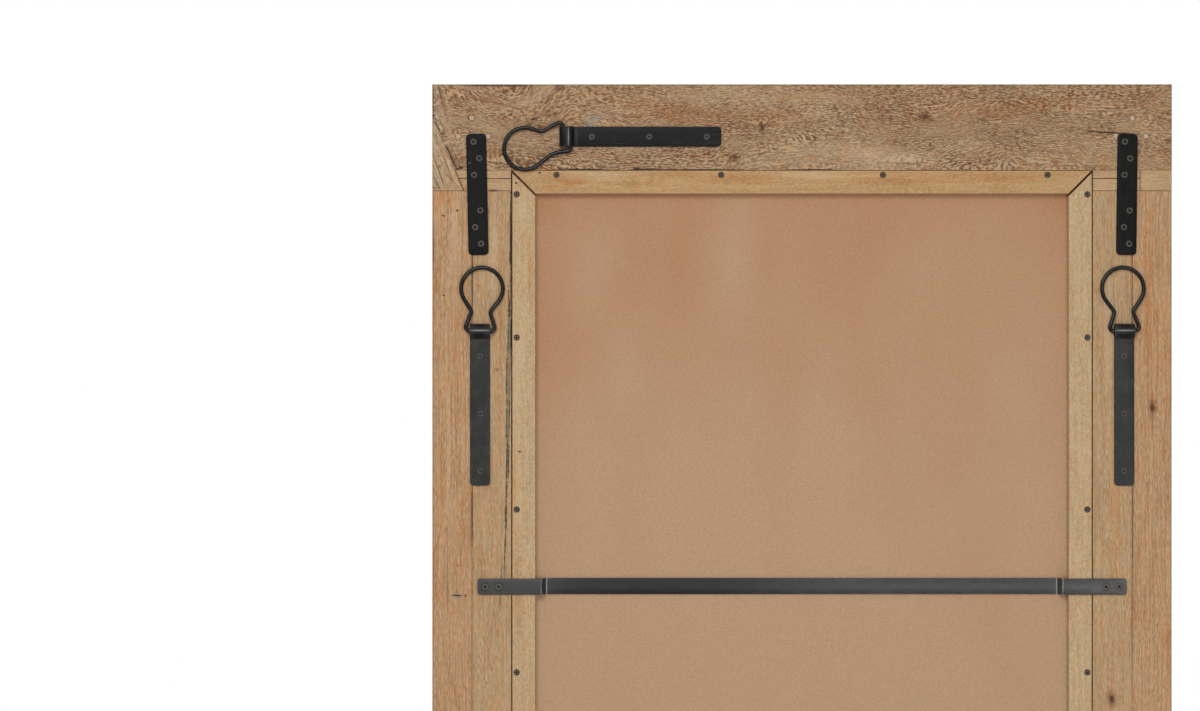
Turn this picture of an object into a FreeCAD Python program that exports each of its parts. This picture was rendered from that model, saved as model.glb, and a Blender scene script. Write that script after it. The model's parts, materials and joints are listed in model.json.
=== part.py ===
import FreeCAD, Part
import math
import os

# Floor mirror with a reclaimed-wood frame, modelled standing upright as it leans or hangs in use.
# The glass looks along -Y and the hardware is on the back, towards +Y.
# Left and right are as seen from behind, so left is +X. The origin is the middle of the bottom face.
# All sizes are in millimetres.

# Frame: two rails across the whole width, two stiles between them
frame_width = 914.0
frame_height = 1870.0
frame_thickness = 44.0
rail_solid_width = 106.0
stile_solid_width = 97.5
rebate_width = 26.0
outer_board_width = 49.3
edge_ease = 1.2

# Tenon on each stile end and the mortise for it, in the front lip of the rail
tenon_width = 56.0
tenon_thickness = 10.0
tenon_length = 106.0
tenon_front_cheek = 7.0
mortise_side_play = 0.3
mortise_face_play = 0.15
mortise_end_play = 2.0

# Three whittled pegs through each tenon, driven from the back
peg_radius = 4.0
peg_length = 34.0
peg_sides = 8
peg_outer_spread = 16.8
peg_inner_spread = 20.2
peg_high_from_edge = 41.5
peg_low_from_edge = 64.2

# Fillers that plug the open ends of the rail rebate
filler_upper_height = 10.5
filler_end_width = 39.0
filler_gap = 0.3
patch_from_edge = 43.0
patch_top_width = 1.5

# Mirror glass, backing panel and the blocks that centre them in the rebate
glass_thickness = 5.0
panel_thickness = 3.0
glass_edge_gap = 10.0
block_length = 60.0
block_play = 0.3

# Battens that hold the panel in
batten_width = 29.0
batten_thickness = 12.0
batten_stile_gap = 1.2
batten_rail_gap = 0.4
mitre_gap = 2.0
batten_screw_inset = 5.6
rail_batten_screw_first = 153.5
rail_batten_screw_second = 357.0
stile_batten_screw_first = 136.0
stile_batten_screw_second = 313.0
stile_batten_screw_third = 525.5
stile_batten_middle_count = 5

# Screws, the same head for all, drawn with flat sides
screw_head_radius = 3.9
screw_shank_radius = 1.8
screw_tip_radius = 0.6
screw_sides = 8
screw_hole_clearance = 0.15
short_screw_length = 20.0
batten_screw_length = 34.0
batten_screw_head_depth = 2.5

# Corner plates, one over each rail and stile joint
plate_length = 150.0
plate_width = 25.0
plate_thickness = 2.5
plate_corner_radius = 4.0
plate_from_side = 55.7
plate_below_joint = 4.2
plate_first_screw = 22.0
plate_screw_pitch = 20.5
plate_screw_zigzag = 3.4
plate_screws_off_middle = 2.1
plate_tilts_deg = {"top_left": 1.2, "top_right": -0.7, "bottom_left": -0.5, "bottom_right": 0.8}

# Flat bars across the back, cranked down on to the panel
bar_width = 20.0
bar_thickness = 2.5
bar_end_past_joint = 6.7
bar_crank_clearance = 5.3
bar_crank_deg = 70.0
bar_bend_radius = 1.5
bar_end_radius = 3.0
bar_screw_shares = (0.332, 0.675)
bar_height_share = 0.332

# Hanger straps with a rolled eye, and the keyhole-shaped rings in them
strap_length = 200.0
strap_width = 25.0
strap_thickness = 2.0
strap_corner_radius = 4.0
strap_first_screw = 18.0
strap_screw_pitch = 71.0
eye_inner_length = 13.8
eye_inner_height = 6.4
eye_lip_gap = 0.3
ring_wire_radius = 2.5
ring_wire_sides = 10
ring_bar_share = 0.94
ring_bow_facets = 26
ring_bend_facets = 4
ring_circle_radius = 25.8
ring_circle_height = 52.7
ring_neck_half_width = 11.2
ring_neck_height = 24.0
ring_shoulder_half_width = 20.1
ring_neck_bend = 6.0
ring_shoulder_bend = 5.0
ring_rest_clearance = 0.3
bent_rings = ("top_rail",)
bent_circle_height = 53.4
bent_circle_shift = -1.7
bent_first_shoulder_half_width = 19.0
bent_first_shoulder_bend = 4.0
bent_first_neck_half_width = 13.5
bent_first_neck_height = 20.5
bent_first_neck_bend = 36.0
bent_second_shoulder_half_width = 20.6
bent_second_shoulder_bend = 5.0
bent_second_neck_half_width = 14.9
bent_second_neck_height = 27.1
bent_second_neck_bend = 10.0
stile_hanger_from_side = 59.1
stile_ring_below_plate = 12.8
rail_hanger_from_edge = 64.9
rail_hanger_eye_from_side = 166.0
ring_lean_deg = {
    "top_rail": 18.0, "bottom_rail": 13.0,
    "left_stile": -2.7, "right_stile": 2.0,
}

# How far a cut runs past the wood, and how near counts as the same place
cut_overrun = 1.0
same_place = 1e-6

# Places worked out from the sizes above
rail_face = rail_solid_width + rebate_width
stile_face = stile_solid_width + rebate_width
rebate_depth = batten_thickness + panel_thickness + glass_thickness
back_y = frame_thickness / 2
front_y = -frame_thickness / 2
rebate_y = back_y - rebate_depth
panel_back_y = back_y - batten_thickness
tenon_front_y = front_y + tenon_front_cheek
tenon_middle = stile_solid_width / 2
plate_from_edge = rail_face + plate_below_joint
bar_end_from_side = outer_board_width + bar_end_past_joint
inner_board_width = stile_solid_width - outer_board_width
batten_inner_edge = stile_solid_width + batten_stile_gap + batten_width
bar_crank_from_side = batten_inner_edge + bar_crank_clearance
eye_axis_height = strap_thickness + eye_inner_height / 2
ring_reach = ring_circle_height + ring_circle_radius + ring_wire_radius
stile_hanger_eye_from_edge = (
    plate_from_edge + plate_length / 2 + stile_ring_below_plate + ring_reach
)

LEFT, RIGHT = 1, -1
TOP, BOTTOM = 1, -1
SIDES = {"left": LEFT, "right": RIGHT}
ENDS = {"top": TOP, "bottom": BOTTOM}
X_AXIS = FreeCAD.Vector(1, 0, 0)
Y_AXIS = FreeCAD.Vector(0, 1, 0)
Z_AXIS = FreeCAD.Vector(0, 0, 1)

# What is true all along the build: each node's shape by its name
nodes = {}


def across(side, inset):
    """X of a place that far in from the left or right edge of the frame."""
    return side * (frame_width / 2 - inset)


def height(end, inset):
    """Z of a place that far in from the top or bottom edge of the frame."""
    return frame_height - inset if end == TOP else inset


def block(x_range, y_range, z_range):
    """A box between two corners, given as pairs in any order."""
    low = FreeCAD.Vector(min(x_range), min(y_range), min(z_range))
    high = FreeCAD.Vector(max(x_range), max(y_range), max(z_range))
    size = high - low
    return Part.makeBox(size.x, size.y, size.z, low)


def corners_round(centre, radius, sides):
    """The corners of a regular polygon about a place, square to the depth of the frame."""
    turns = [2 * math.pi * (step + 0.5) / sides for step in range(sides)]
    return [centre + FreeCAD.Vector(math.cos(t), 0, math.sin(t)) * radius for t in turns]


def flat(corners):
    """A flat face between corners that lie in one plane."""
    return Part.Face(Part.makePolygon(corners + corners[:1]))


def skinned(sections):
    """A solid with flat sides between matching polygons, closed at both ends."""
    faces = [flat(sections[0]), flat(sections[-1])]
    for near, far in zip(sections, sections[1:]):
        for at in range(len(near)):
            faces.append(flat([near[at - 1], near[at], far[at], far[at - 1]]))
    shell = Part.Shell(faces)
    shell.sewShape()
    solid = Part.Solid(shell)
    if solid.Volume < 0:
        solid.reverse()
    return solid


def straight_edges(solid, direction):
    """The straight edges of a solid that run along a direction."""
    return [
        edge for edge in solid.Edges
        if isinstance(edge.Curve, Part.Line)
        and abs(edge.tangentAt(edge.FirstParameter).cross(direction).Length) < same_place
    ]


def prism(points, travel):
    """A flat outline of straight edges, pushed along a vector."""
    return flat(points).extrude(travel)


def eased(plank, direction, planes):
    """Breaks a plank's arrises along a direction where they lie in one of the planes.

    Each plane is a place and its normal. Only arrises of the front and back faces are broken.
    """
    kept = []
    for edge in straight_edges(plank, direction):
        middle = edge.CenterOfMass
        on_face = min(abs(middle.y - front_y), abs(middle.y - back_y)) < same_place
        if on_face and any(abs((middle - place).dot(normal)) < same_place for place, normal in planes):
            kept.append(edge)
    return plank.makeChamfer(edge_ease, kept)


# Frame members


def tenon(side, end, play_side=0.0, play_face=0.0, play_end=0.0):
    """The tenon at one stile end, or with some play the mortise that takes it."""
    half = tenon_width / 2 + play_side
    root = height(end, rail_face)
    tip = height(end, rail_face - tenon_length - play_end)
    if play_end:
        root = height(end, rail_face + cut_overrun)
    return block(
        (across(side, tenon_middle - half), across(side, tenon_middle + half)),
        (tenon_front_y - play_face, tenon_front_y + tenon_thickness + play_face),
        (root, tip),
    )


def peg(side, end, sideways, from_edge):
    """One octagonal peg, from the back face inwards."""
    top = FreeCAD.Vector(across(side, tenon_middle + sideways), back_y, height(end, from_edge))
    return prism(corners_round(top, peg_radius, peg_sides), Y_AXIS * -peg_length)


def corner_pegs(side, end):
    """One peg high on the tenon and two lower ones beside it."""
    return [
        peg(side, end, 0.0, peg_high_from_edge),
        peg(side, end, -peg_outer_spread, peg_low_from_edge),
        peg(side, end, peg_inner_spread, peg_low_from_edge),
    ]


def all_pegs():
    return [one for side in SIDES.values() for end in ENDS.values() for one in corner_pegs(side, end)]


def patch_outline(side, end):
    """The slanting patch let into the photographed corner, as places (from side, from edge)."""
    return [
        (0.0, patch_from_edge),
        (patch_top_width, patch_from_edge),
        (filler_end_width, rail_face - filler_gap),
        (0.0, rail_face - filler_gap),
    ]


def back_slab(side, end, places):
    """A piece as deep as the rebate with its back flush, from places (from side, from edge)."""
    points = [FreeCAD.Vector(across(side, a), rebate_y, height(end, b)) for a, b in places]
    return prism(points, Y_AXIS * rebate_depth)


def rail(end):
    """A plank across the whole width, with a rebate ploughed right through along its inner edge."""
    profile = [
        (front_y, 0.0),
        (back_y, 0.0),
        (back_y, rail_solid_width),
        (rebate_y, rail_solid_width),
        (rebate_y, rail_face),
        (front_y, rail_face),
    ]
    start = across(RIGHT, 0.0)
    points = [FreeCAD.Vector(start, y, height(end, inset)) for y, inset in profile]
    plank = prism(points, X_AXIS * frame_width)
    outer = FreeCAD.Vector(0, 0, height(end, 0.0))
    inner = FreeCAD.Vector(0, 0, height(end, rail_face))
    plank = eased(plank, X_AXIS, [(outer, Z_AXIS), (inner, Z_AXIS)])
    mortises = [
        tenon(side, end, mortise_side_play, mortise_face_play, mortise_end_play)
        for side in SIDES.values()
    ]
    holes = [one for side in SIDES.values() for one in corner_pegs(side, end)]
    plank = plank.cut(mortises + holes)
    if end == TOP:
        plank = plank.cut(back_slab(LEFT, TOP, patch_outline(LEFT, TOP)))
    return plank


def stile_board(side, outer):
    """One of the two boards glued edge to edge for a stile, with its half of both tenons."""
    near, full, far = 0.0, outer_board_width, outer_board_width
    if not outer:
        near, full, far = outer_board_width, stile_solid_width, stile_face
    length = (height(BOTTOM, rail_face), height(TOP, rail_face))
    board = block((across(side, near), across(side, full)), (front_y, back_y), length)
    if not outer:
        lip = block((across(side, near), across(side, far)), (front_y, rebate_y), length)
        board = board.fuse(lip).removeSplitter()
    free_edge = FreeCAD.Vector(across(side, near if outer else far), 0, 0)
    board = eased(board, Z_AXIS, [(free_edge, X_AXIS)])
    reach = block((across(side, near), across(side, far)), (front_y, back_y), (0.0, frame_height))
    for end in ENDS.values():
        board = board.fuse(tenon(side, end).common(reach)).removeSplitter()
        board = board.cut(corner_pegs(side, end))
    return board


def corner_fillers(side, end):
    """Two strips and an end block that plug the rail rebate over one stile."""
    upper = rail_solid_width + filler_upper_height
    patched = side == LEFT and end == TOP
    slope = (filler_end_width - patch_top_width) / (rail_face - filler_gap - patch_from_edge)

    def start(from_edge):
        if patched:
            return patch_top_width + slope * (from_edge - patch_from_edge) + filler_gap
        return filler_end_width + filler_gap

    strips = []
    for low, high in ((rail_solid_width, upper - filler_gap), (upper, rail_face - filler_gap)):
        strips.append(back_slab(side, end, [
            (start(low), low),
            (stile_solid_width, low),
            (stile_solid_width, high),
            (start(high), high),
        ]))
    if not patched:
        strips.append(back_slab(side, end, [
            (0.0, rail_solid_width),
            (filler_end_width, rail_solid_width),
            (filler_end_width, rail_face - filler_gap),
            (0.0, rail_face - filler_gap),
        ]))
    return strips


# Glass, panel, blocks and battens


def sheet(y_range):
    """A sheet that fills the rebate but for the gap round its edge."""
    reach = stile_solid_width + glass_edge_gap
    rise = rail_solid_width + glass_edge_gap
    return block(
        (across(LEFT, reach), across(RIGHT, reach)), y_range, (height(BOTTOM, rise), height(TOP, rise))
    )


def rail_batten_screws():
    """X places of the screws in the top and bottom battens."""
    insets = (rail_batten_screw_first, rail_batten_screw_second)
    return [across(side, inset) for side in (LEFT, RIGHT) for inset in insets]


def stile_batten_screws():
    """Z places of the screws in the side battens: three at the top as found, the rest evenly."""
    places = [
        height(TOP, stile_batten_screw_first),
        height(TOP, stile_batten_screw_second),
        height(TOP, stile_batten_screw_third),
    ]
    last = height(BOTTOM, stile_batten_screw_first)
    pitch = (places[-1] - last) / (stile_batten_middle_count + 1)
    for step in range(1, stile_batten_middle_count + 2):
        places.append(height(TOP, stile_batten_screw_third) - pitch * step)
    return places


def setting_blocks():
    """Blocks between the glass edge and the rebate wall, each midway between two batten screws."""
    depth = (rebate_y, panel_back_y - block_play)
    half = block_length / 2
    made = []
    for end in ENDS.values():
        for side in SIDES.values():
            middle = (rail_batten_screw_first + rail_batten_screw_second) / 2
            wall = height(end, rail_solid_width)
            edge = height(end, rail_solid_width + glass_edge_gap)
            span = (across(side, middle - half), across(side, middle + half))
            made.append(block(span, depth, (wall, edge)))
    places = stile_batten_screws()
    for side in SIDES.values():
        for upper, lower in ((places[1], places[2]), (places[-3], places[-2])):
            middle = (upper + lower) / 2
            wall = across(side, stile_solid_width)
            edge = across(side, stile_solid_width + glass_edge_gap)
            made.append(block((wall, edge), depth, (middle - half, middle + half)))
    return made


def rail_batten(end):
    """A mitred batten along a rail."""
    outer_in = stile_solid_width + batten_stile_gap
    outer_rise = rail_solid_width + batten_rail_gap
    places = [
        (LEFT, outer_in, outer_rise),
        (LEFT, outer_in + batten_width, outer_rise + batten_width),
        (RIGHT, outer_in + batten_width, outer_rise + batten_width),
        (RIGHT, outer_in, outer_rise),
    ]
    points = [FreeCAD.Vector(across(s, a), panel_back_y, height(end, b)) for s, a, b in places]
    return prism(points, Y_AXIS * batten_thickness)


def stile_batten(side):
    """A mitred batten along a stile, short of the rail battens by the open mitre."""
    outer_in = stile_solid_width + batten_stile_gap
    outer_rise = rail_solid_width + batten_rail_gap + mitre_gap * math.sqrt(2)
    places = [
        (TOP, outer_in, outer_rise),
        (TOP, outer_in + batten_width, outer_rise + batten_width),
        (BOTTOM, outer_in + batten_width, outer_rise + batten_width),
        (BOTTOM, outer_in, outer_rise),
    ]
    points = [FreeCAD.Vector(across(side, a), panel_back_y, height(e, b)) for e, a, b in places]
    return prism(points, Y_AXIS * batten_thickness)


# Screws and the holes for them


def screw(head, length, head_depth):
    """A countersunk wood screw driven towards -Y, with its head flush at the place given."""
    stations = (
        (0.0, screw_head_radius),
        (head_depth, screw_shank_radius),
        (length, screw_tip_radius),
    )
    return skinned([corners_round(head - Y_AXIS * d, r, screw_sides) for d, r in stations])


def countersink(head, depth):
    """The tapered hole through flat stock that the screw head fills."""
    wide = corners_round(head, screw_head_radius + screw_hole_clearance, screw_sides)
    foot = head - Y_AXIS * depth
    narrow = corners_round(foot, screw_shank_radius + screw_hole_clearance, screw_sides)
    return skinned([wide, narrow])


def batten_screws():
    """All the screws that hold the four battens down, outside the edge of the glass."""
    made = []
    for end in ENDS.values():
        z = height(end, rail_solid_width + batten_rail_gap + batten_screw_inset)
        made += [FreeCAD.Vector(x, back_y, z) for x in rail_batten_screws()]
    for side in SIDES.values():
        x = across(side, stile_solid_width + batten_stile_gap + batten_screw_inset)
        made += [FreeCAD.Vector(x, back_y, z) for z in stile_batten_screws()]
    return [screw(place, batten_screw_length, batten_screw_head_depth) for place in made]


# Corner plates


def plate_screw_places(end):
    """Places of the six screws on a plate, as (sideways, along) from its middle."""
    reach = [plate_first_screw + plate_screw_pitch * step for step in range(3)]
    middle = end * plate_screws_off_middle
    places = []
    for along in reach:
        swing = -plate_screw_zigzag if reach.index(along) % 2 else plate_screw_zigzag
        places += [(swing, middle + along), (-swing, middle - along)]
    return places


def plate_placement(side, end, tilt_deg):
    """Where a corner plate lies: square to the joint but for a small tilt."""
    place = FreeCAD.Vector(across(side, plate_from_side), back_y, height(end, plate_from_edge))
    return FreeCAD.Placement(place, FreeCAD.Rotation(Y_AXIS, tilt_deg))


def corner_plate(placement, end):
    half_width, half_length = plate_width / 2, plate_length / 2
    plate = block((-half_width, half_width), (0.0, plate_thickness), (-half_length, half_length))
    plate = plate.makeFillet(plate_corner_radius, straight_edges(plate, Y_AXIS))
    holes = [
        countersink(FreeCAD.Vector(x, plate_thickness, z), plate_thickness)
        for x, z in plate_screw_places(end)
    ]
    plate = plate.cut(holes)
    plate.Placement = placement
    return plate


def corner_plate_screws(placement, end):
    made = []
    for x, z in plate_screw_places(end):
        head = placement.multVec(FreeCAD.Vector(x, plate_thickness, z))
        made.append(screw(head, short_screw_length, plate_thickness))
    return made


# Bent flat stock, for the cross bars and the hanger eyes


def bent_strip(start, heading_deg, moves, thickness):
    """A face for flat stock seen from its edge: straight runs and true bends of even thickness.

    Each move is ("run", length) or ("bend", angle in degrees, inside radius), positive to the left.
    The start and the face lie in the YZ plane, as (z, y).
    """
    half = thickness / 2
    heading = math.radians(heading_deg)
    z, y = start

    def offset(distance):
        return FreeCAD.Vector(0, y + distance * math.cos(heading), z - distance * math.sin(heading))

    left, right = [offset(half)], [offset(-half)]
    left_edges, right_edges = [], []
    for move in moves:
        middles = []
        if move[0] == "run":
            z += move[1] * math.cos(heading)
            y += move[1] * math.sin(heading)
        else:
            turn = math.radians(move[1])
            radius = math.copysign(move[2] + half, turn)
            centre_z = z - radius * math.sin(heading)
            centre_y = y + radius * math.cos(heading)
            for part in (0.5, 0.5):
                heading += turn * part
                z = centre_z + radius * math.sin(heading)
                y = centre_y - radius * math.cos(heading)
                middles.append((offset(half), offset(-half)))
        ends = (offset(half), offset(-half))
        for points, edges, end, which in ((left, left_edges, ends[0], 0), (right, right_edges, ends[1], 1)):
            if middles:
                edges.append(Part.Arc(points[-1], middles[0][which], end).toShape())
            else:
                edges.append(Part.LineSegment(points[-1], end).toShape())
            points.append(end)
    caps = [
        Part.LineSegment(left[0], right[0]).toShape(),
        Part.LineSegment(left[-1], right[-1]).toShape(),
    ]
    edges = Part.__sortEdges__(left_edges + right_edges + caps)
    return Part.Face(Part.Wire(edges))


def cross_bar_place(end):
    return height(end, frame_height * bar_height_share)


def cross_bar_screw_places(end):
    """Heads of the two screws at each end of a cross bar."""
    z = cross_bar_place(end)
    insets = [outer_board_width + inner_board_width * share for share in bar_screw_shares]
    y = back_y + bar_thickness
    return [FreeCAD.Vector(across(side, inset), y, z) for side in SIDES.values() for inset in insets]


def cross_bar(end):
    """A flat bar screwed to both stiles and cranked down so that it bears on the panel."""
    crank = math.radians(bar_crank_deg)
    centre_radius = bar_bend_radius + bar_thickness / 2
    drop_in_bends = 2 * centre_radius * (1 - math.cos(crank))
    slope = (batten_thickness - drop_in_bends) / math.sin(crank)
    crank_reach = slope * math.cos(crank) + 2 * centre_radius * math.sin(crank)
    top_run = bar_crank_from_side - bar_end_from_side
    low_run = frame_width - 2 * (bar_crank_from_side + crank_reach)
    moves = [
        ("run", top_run),
        ("bend", -bar_crank_deg, bar_bend_radius),
        ("run", slope),
        ("bend", bar_crank_deg, bar_bend_radius),
        ("run", low_run),
        ("bend", bar_crank_deg, bar_bend_radius),
        ("run", slope),
        ("bend", -bar_crank_deg, bar_bend_radius),
        ("run", top_run),
    ]
    start = (across(RIGHT, bar_end_from_side), back_y + bar_thickness / 2)
    bar = bent_strip(start, 0.0, moves, bar_thickness).extrude(X_AXIS * bar_width)
    bar = bar.translated(X_AXIS * (-bar_width / 2))
    bar = bar.rotated(FreeCAD.Vector(), Y_AXIS, 90)
    bar = bar.translated(Z_AXIS * cross_bar_place(end))
    bar = bar.makeFillet(bar_end_radius, straight_edges(bar, Y_AXIS))
    return bar.cut([countersink(head, bar_thickness) for head in cross_bar_screw_places(end)])


def cross_bar_screws():
    places = [head for end in ENDS.values() for head in cross_bar_screw_places(end)]
    return [screw(head, short_screw_length, bar_thickness) for head in places]


# Hangers: a strap screwed to the wood, its end rolled into an eye for a ring
# A hanger's own frame has its origin on the wood under the eye, +Y off the wood and +Z towards the ring


def strap_screw_places():
    """Z of the three strap screws in the hanger's own frame."""
    tail = eye_inner_length / 2 + strap_thickness - strap_length
    return [tail + strap_first_screw + strap_screw_pitch * step for step in range(3)]


def hanger_strap(placement):
    """Flat stock lying on the wood, rolled over the ring bar and back down to itself."""
    half = strap_thickness / 2
    inside = eye_inner_height / 2
    tail = eye_inner_length / 2 + strap_thickness - strap_length
    flat = eye_inner_length / 2 - inside - tail
    crown = eye_inner_length - eye_inner_height
    lip = inside - eye_lip_gap
    moves = [
        ("run", flat),
        ("bend", 180.0, inside),
        ("run", crown),
        ("bend", 90.0, inside),
        ("run", lip),
    ]
    strap = bent_strip((tail, half), 0.0, moves, strap_thickness).extrude(X_AXIS * strap_width)
    strap = strap.translated(X_AXIS * (-strap_width / 2))
    tail_corners = [edge for edge in straight_edges(strap, Y_AXIS) if edge.CenterOfMass.z < tail + half]
    strap = strap.makeFillet(strap_corner_radius, tail_corners)
    holes = [
        countersink(FreeCAD.Vector(0, strap_thickness, z), strap_thickness)
        for z in strap_screw_places()
    ]
    strap = strap.cut(holes)
    strap.Placement = placement
    return strap


def hanger_screws(placement):
    heads = [placement.multVec(FreeCAD.Vector(0, strap_thickness, z)) for z in strap_screw_places()]
    return [screw(head, short_screw_length, strap_thickness) for head in heads]


def facets_on_arc(centre, start, turn, count):
    """Places along an arc in the ring's plane, without its start: turn is in radians."""
    spoke = start - centre
    steps = [FreeCAD.Rotation(Y_AXIS, math.degrees(turn * step / count)) for step in range(1, count + 1)]
    return [centre + step.multVec(spoke) for step in steps]


def rounded_path(corners, radii):
    """Places along straight runs whose corners are rounded with tangent arcs, in flat steps."""
    places = [corners[0]]
    for before, corner, after, radius in zip(corners, corners[1:], corners[2:], radii):
        to_before = (before - corner).normalize()
        to_after = (after - corner).normalize()
        half_angle = to_before.getAngle(to_after) / 2
        enter = corner + to_before * (radius / math.tan(half_angle))
        centre = corner + (to_before + to_after).normalize() * (radius / math.sin(half_angle))
        turn = math.copysign(math.pi - 2 * half_angle, to_after.cross(to_before).y)
        places.append(enter)
        places += facets_on_arc(centre, enter, turn, ring_bend_facets)
    return places


def wire_sections(places, radius, sides):
    """Polygons across a path in the XZ plane, mitred at each of its places."""
    sections = []
    for at, place in enumerate(places):
        last = place - places[at - 1] if at else places[1] - place
        following = places[at + 1] - place if at + 1 < len(places) else last
        last, following = last.normalize(), following.normalize()
        along = (last + following).normalize()
        sideways = along.cross(Y_AXIS) * (1 / along.dot(last))
        turns = [2 * math.pi * (step + 0.5) / sides for step in range(sides)]
        sections.append([
            place + (sideways * math.cos(turn) + Y_AXIS * math.sin(turn)) * radius for turn in turns
        ])
    return sections


def ring_arm(shoulder_half_width, shoulder_bend, neck_half_width, neck_height, neck_bend, bow):
    """Places from the bar's end to where the arm runs into the bow, and its angle under the bow."""
    # the bow's wire is tangent to the straight run that rises from the neck
    neck = FreeCAD.Vector(neck_half_width, 0, neck_height)
    to_neck = neck - bow
    below = math.atan2(to_neck.x, -to_neck.z) + math.acos(ring_circle_radius / to_neck.Length)
    touch = bow + FreeCAD.Vector(math.sin(below), 0, -math.cos(below)) * ring_circle_radius
    corners = [
        FreeCAD.Vector(),
        FreeCAD.Vector(shoulder_half_width, 0, 0),
        neck,
        touch,
    ]
    _, *places = rounded_path(corners, (shoulder_bend, neck_bend))
    return places + [touch], below


def mirrored(place):
    return FreeCAD.Vector(-place.x, 0, place.z)


def even_ring_arms():
    """Both arms of a ring as it was made."""
    bow = FreeCAD.Vector(0, 0, ring_circle_height)
    arm = ring_arm(
        ring_shoulder_half_width, ring_shoulder_bend,
        ring_neck_half_width, ring_neck_height, ring_neck_bend, bow,
    )
    return bow, arm, arm


def bent_ring_arms():
    """The two arms of the ring that use has pulled out of shape, each with its own curves."""
    bow = FreeCAD.Vector(bent_circle_shift, 0, bent_circle_height)
    first = ring_arm(
        bent_first_shoulder_half_width, bent_first_shoulder_bend,
        bent_first_neck_half_width, bent_first_neck_height, bent_first_neck_bend, bow,
    )
    second = ring_arm(
        bent_second_shoulder_half_width, bent_second_shoulder_bend,
        bent_second_neck_half_width, bent_second_neck_height, bent_second_neck_bend, mirrored(bow),
    )
    return bow, first, second


def hanger_ring(placement, lean_deg, bent):
    """One piece of round wire: a bar in the eye, two arms with a shoulder and a neck, and a round bow."""
    bow, (first, first_below), (second, second_below) = bent_ring_arms() if bent else even_ring_arms()
    bow_turn = first_below + second_below - 2 * math.pi
    arc = facets_on_arc(bow, first[-1], bow_turn, ring_bow_facets)
    back = [mirrored(place) for place in reversed(second[:-1])]
    ring = skinned(wire_sections(first + arc + back, ring_wire_radius, ring_wire_sides))
    # the welded bar stays truly round, because it turns in the eye
    bar_length = first[0].x + second[0].x
    bar_radius = ring_wire_radius * ring_bar_share
    ring = ring.fuse(Part.makeCylinder(bar_radius, bar_length, mirrored(second[0]), X_AXIS))
    # at rest the bow lies just clear of the wood, the bar is held up in the eye
    reach = bow.z + ring_circle_radius
    dip = math.degrees(math.asin((eye_axis_height - ring_wire_radius - ring_rest_clearance) / reach))
    ring.rotate(FreeCAD.Vector(), X_AXIS, dip)
    ring.rotate(FreeCAD.Vector(), Y_AXIS, lean_deg)
    ring.translate(Y_AXIS * eye_axis_height)
    ring.Placement = placement.multiply(ring.Placement)
    return ring


def stile_hanger_placement(side):
    """On a stile, with the ring towards the top."""
    place = FreeCAD.Vector(
        across(side, stile_hanger_from_side), back_y, height(TOP, stile_hanger_eye_from_edge)
    )
    return FreeCAD.Placement(place, FreeCAD.Rotation())


def rail_hanger_placement(end):
    """On a rail near its left end, with the ring towards the left edge."""
    place = FreeCAD.Vector(
        across(LEFT, rail_hanger_eye_from_side), back_y, height(end, rail_hanger_from_edge)
    )
    return FreeCAD.Placement(place, FreeCAD.Rotation(Y_AXIS, 90))


# Assembly


def add(name, *solids):
    nodes[name] = solids[0] if len(solids) == 1 else Part.makeCompound(list(solids))


def add_frame():
    for end_name, end in ENDS.items():
        add(f"{end_name}_rail", rail(end))
    for side_name, side in SIDES.items():
        add(f"{side_name}_stile_outer_board", stile_board(side, True))
        add(f"{side_name}_stile_inner_board", stile_board(side, False))
    add("tenon_pegs", *all_pegs())
    add("top_left_corner_patch", back_slab(LEFT, TOP, patch_outline(LEFT, TOP)))
    for end_name, end in ENDS.items():
        for side_name, side in SIDES.items():
            add(f"{end_name}_{side_name}_rebate_fillers", *corner_fillers(side, end))


def add_mirror():
    add("mirror_glass", sheet((rebate_y, rebate_y + glass_thickness)))
    add("backing_panel", sheet((rebate_y + glass_thickness, panel_back_y)))
    add("glass_setting_blocks", *setting_blocks())
    for end_name, end in ENDS.items():
        add(f"{end_name}_batten", rail_batten(end))
    for side_name, side in SIDES.items():
        add(f"{side_name}_batten", stile_batten(side))
    add("batten_screws", *batten_screws())


def add_plates_and_bars():
    plate_screws = []
    for end_name, end in ENDS.items():
        for side_name, side in SIDES.items():
            corner = f"{end_name}_{side_name}"
            placement = plate_placement(side, end, plate_tilts_deg[corner])
            add(f"{corner}_corner_plate", corner_plate(placement, end))
            plate_screws += corner_plate_screws(placement, end)
    add("corner_plate_screws", *plate_screws)
    add("upper_cross_bar", cross_bar(TOP))
    add("lower_cross_bar", cross_bar(BOTTOM))
    add("cross_bar_screws", *cross_bar_screws())


def add_hangers():
    places = {f"{name}_stile": stile_hanger_placement(side) for name, side in SIDES.items()}
    places.update({f"{name}_rail": rail_hanger_placement(end) for name, end in ENDS.items()})
    screws = []
    for name, placement in places.items():
        add(f"{name}_hanger_strap", hanger_strap(placement))
        add(f"{name}_hanger_ring", hanger_ring(placement, ring_lean_deg[name], name in bent_rings))
        screws += hanger_screws(placement)
    add("hanger_screws", *screws)


def main():
    add_frame()
    add_mirror()
    add_plates_and_bars()
    add_hangers()
    os.makedirs("parts", exist_ok=True)
    for name, shape in nodes.items():
        shape.exportStep(f"parts/{name}.step")
    print(f"{len(nodes)} nodes written")


main()
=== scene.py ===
import json
import math
import random

import bmesh
import bpy
from bpy.props import FloatProperty, FloatVectorProperty, IntProperty, PointerProperty
from mathutils import Matrix, Vector


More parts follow.
